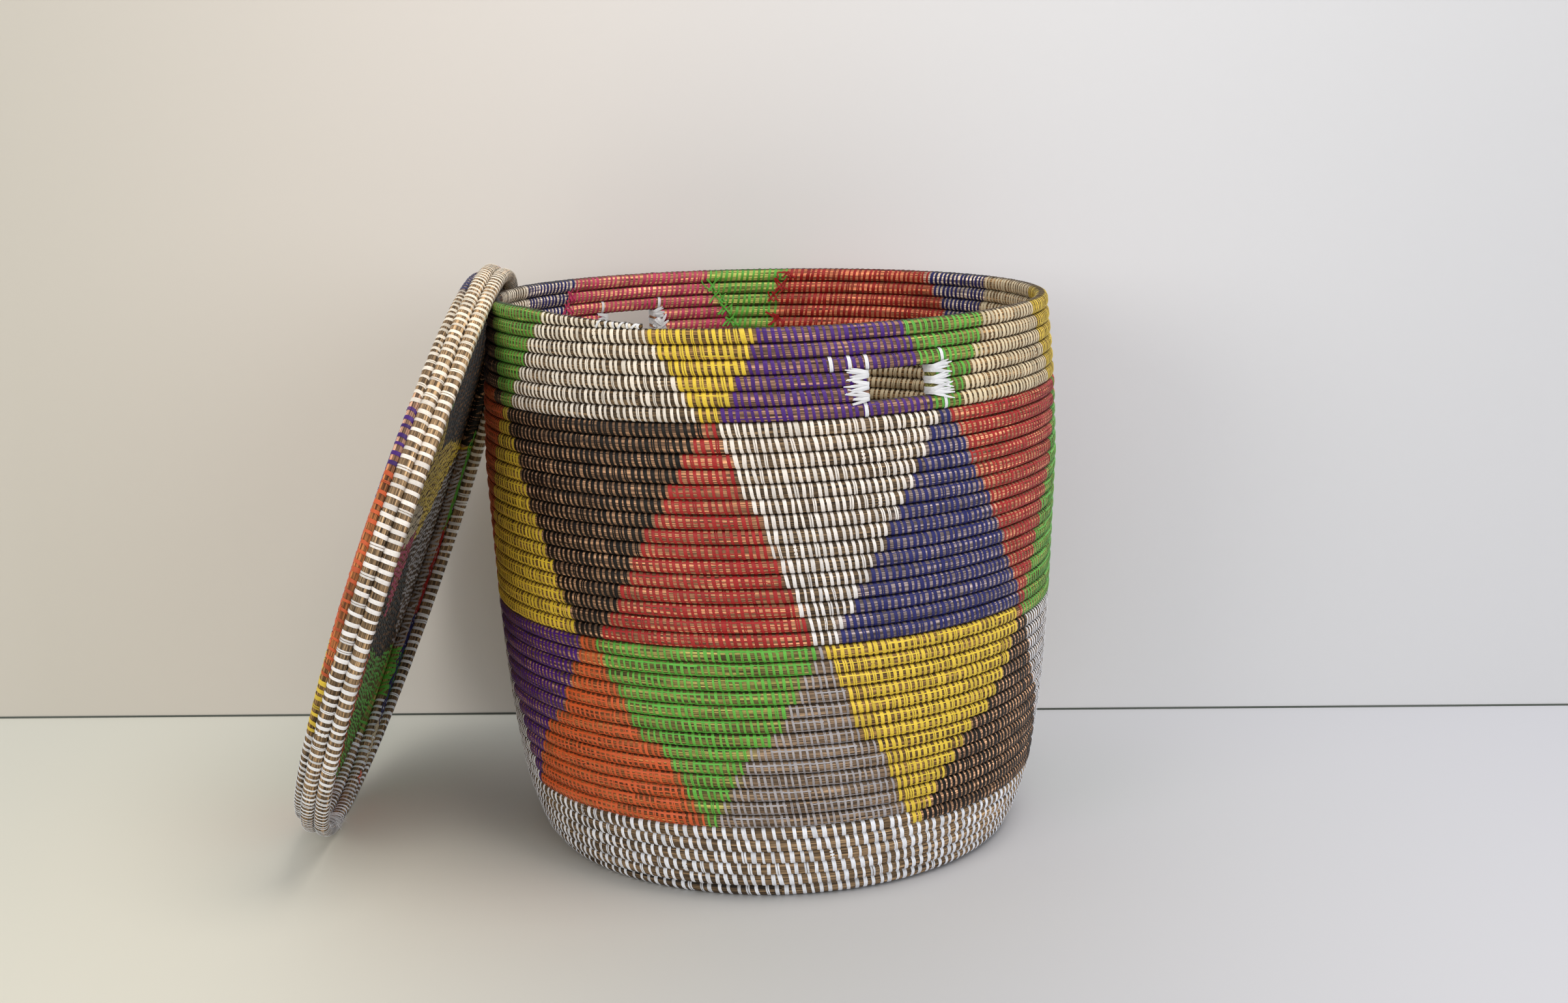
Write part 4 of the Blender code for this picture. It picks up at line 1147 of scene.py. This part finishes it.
# The floor's and the wall's colours, painted light and shade, run from one side to the other
# over this width
SHADED_FROM, SHADED_TO = -0.7, 0.7
# Thin dark line where the wall meets the floor: a painted shadow in that corner
SHADOW_LINE_HIGH, SHADOW_LINE_BEFORE = 1.3 * MM, 0.5 * MM


def plane(name, corners, colours):
    """A sheet of the room, in one colour or in several from left to right, the several being
    painted light and shade.
    """
    mesh = bpy.data.meshes.new(name)
    mesh.from_pydata(corners, [], [(0, 1, 2, 3)])
    item = bpy.data.objects.new(name, mesh)
    bpy.context.collection.objects.link(item)
    face = Surface(name, 0.2, 0.8)
    if len(colours) == 1:
        face.shader.inputs["Base Color"].default_value = (*linear(colours[0]), 1)
    else:
        share = face.add("ShaderNodeMapRange", face.along("X"),
                         **{"From Min": SHADED_FROM, "From Max": SHADED_TO})
        last = len(colours) - 1
        face.feed("Base Color", face.ramp(share.outputs[0], [
            (n / last, linear(colour)) for n, colour in enumerate(colours)], "B_SPLINE"))
    mesh.materials.append(face.material)
    return item, face


def upright(before, top):
    """Corners of a sheet that stands along the wall, some way before it."""
    return [(x, WALL_PLACE + WALL_SLOPE * x - before, z) for x, z in (
        (-FAR, FLOOR_DROP), (FAR, FLOOR_DROP), (FAR, top), (-FAR, top))]


# Painted light and shade on the floor: warm and pale at the left, darker in the middle, cooler
# at the right
plane("floor", [(x, y, FLOOR_DROP) for x, y in ((-FAR, -FAR), (FAR, -FAR), (FAR, FAR),
                                                (-FAR, FAR))],
      ((0.86, 0.85, 0.80), (0.89, 0.87, 0.81), (0.72, 0.72, 0.73), (0.82, 0.82, 0.84),
       (0.82, 0.82, 0.85)))
# Painted light and shade on the wall: darker at both ends, warm at the left and cool at the
# right
# The wall is seen from the front only, and takes no light from the object
wall, face = plane("wall", upright(0.0, FAR), (
    (0.80, 0.78, 0.74), (0.91, 0.88, 0.86), (0.89, 0.89, 0.90), (0.81, 0.81, 0.82)))
behind = face.add("ShaderNodeNewGeometry").outputs["Backfacing"]
either = face.add("ShaderNodeMixShader", behind, face.shader.outputs[0],
                  face.add("ShaderNodeBsdfTransparent").outputs[0])
face.links.new(either.outputs[0], face.nodes["Material Output"].inputs["Surface"])
for sight in ("diffuse", "glossy", "transmission", "shadow"):
    setattr(wall, "visible_" + sight, False)
# A painted shadow: a thin dark sheet along the foot of the wall
wall_corner_shadow = plane("wall_corner_shadow", upright(SHADOW_LINE_BEFORE, SHADOW_LINE_HIGH), ((0.36, 0.38, 0.36),))[0]
wall_corner_shadow.visible_shadow = False

scene = bpy.context.scene
scene.view_settings.view_transform = "Standard"
world = bpy.data.worlds.new("room")
scene.world = world
world.use_nodes = True
sky = world.node_tree.nodes["Background"]
sky.inputs[0].default_value = (0.95, 0.98, 1.0, 1)
sky.inputs[1].default_value = 0.65


def lamp(name, place, aim, size, power, colour):
    """A round soft light at a place, turned to what it lights."""
    data = bpy.data.lights.new(name, "AREA")
    data.shape = "DISK"
    data.size = size
    data.energy = power
    data.color = colour
    item = bpy.data.objects.new(name, data)
    item.location = place
    item.rotation_mode = "QUATERNION"
    item.rotation_quaternion = (Vector(aim) - Vector(place)).to_track_quat("-Z", "Y")
    bpy.context.collection.objects.link(item)


lamp("ceiling", (0.7, -0.7, 2.4), (0.0, 0.0, 0.2), 1.3, 25.0, (1.0, 0.94, 0.86))
lamp("left_room", (-1.6, -2.1, 1.0), (-0.25, 0.0, 0.1), 1.3, 14.0, (1.0, 0.95, 0.87))
lamp("right_room", (1.5, -2.2, 0.9), (0.1, 0.0, 0.2), 1.5, 14.0, (0.97, 0.99, 1.0))

IMAGE_WIDE = 2407
CAMERA_PLACE = Vector((0.0, -1.5, 0.562))
PAN, TILT_DOWN, ROLL = 0.36, 11.51, -1.35
FOCAL_PIXELS = 2943.0
pan, dip, roll = (math.radians(a) for a in (PAN, TILT_DOWN, ROLL))
ahead = Vector((math.sin(pan) * math.cos(dip), math.cos(pan) * math.cos(dip), -math.sin(dip)))
right = Vector((math.cos(pan), -math.sin(pan), 0.0))
above = right.cross(ahead)
right, above = (math.cos(roll) * right + math.sin(roll) * above,
                math.cos(roll) * above - math.sin(roll) * right)
data = bpy.data.cameras.new("camera")
data.sensor_width = 36.0
data.lens = 36.0 * FOCAL_PIXELS / IMAGE_WIDE
data.clip_start = 0.05
data.clip_end = 60.0
camera = bpy.data.objects.new("camera", data)
camera.matrix_world = Matrix.Translation(CAMERA_PLACE) @ Matrix(
    (right, above, -ahead)).transposed().to_4x4()
bpy.context.collection.objects.link(camera)
scene.camera = camera

bpy.context.view_layer.update()
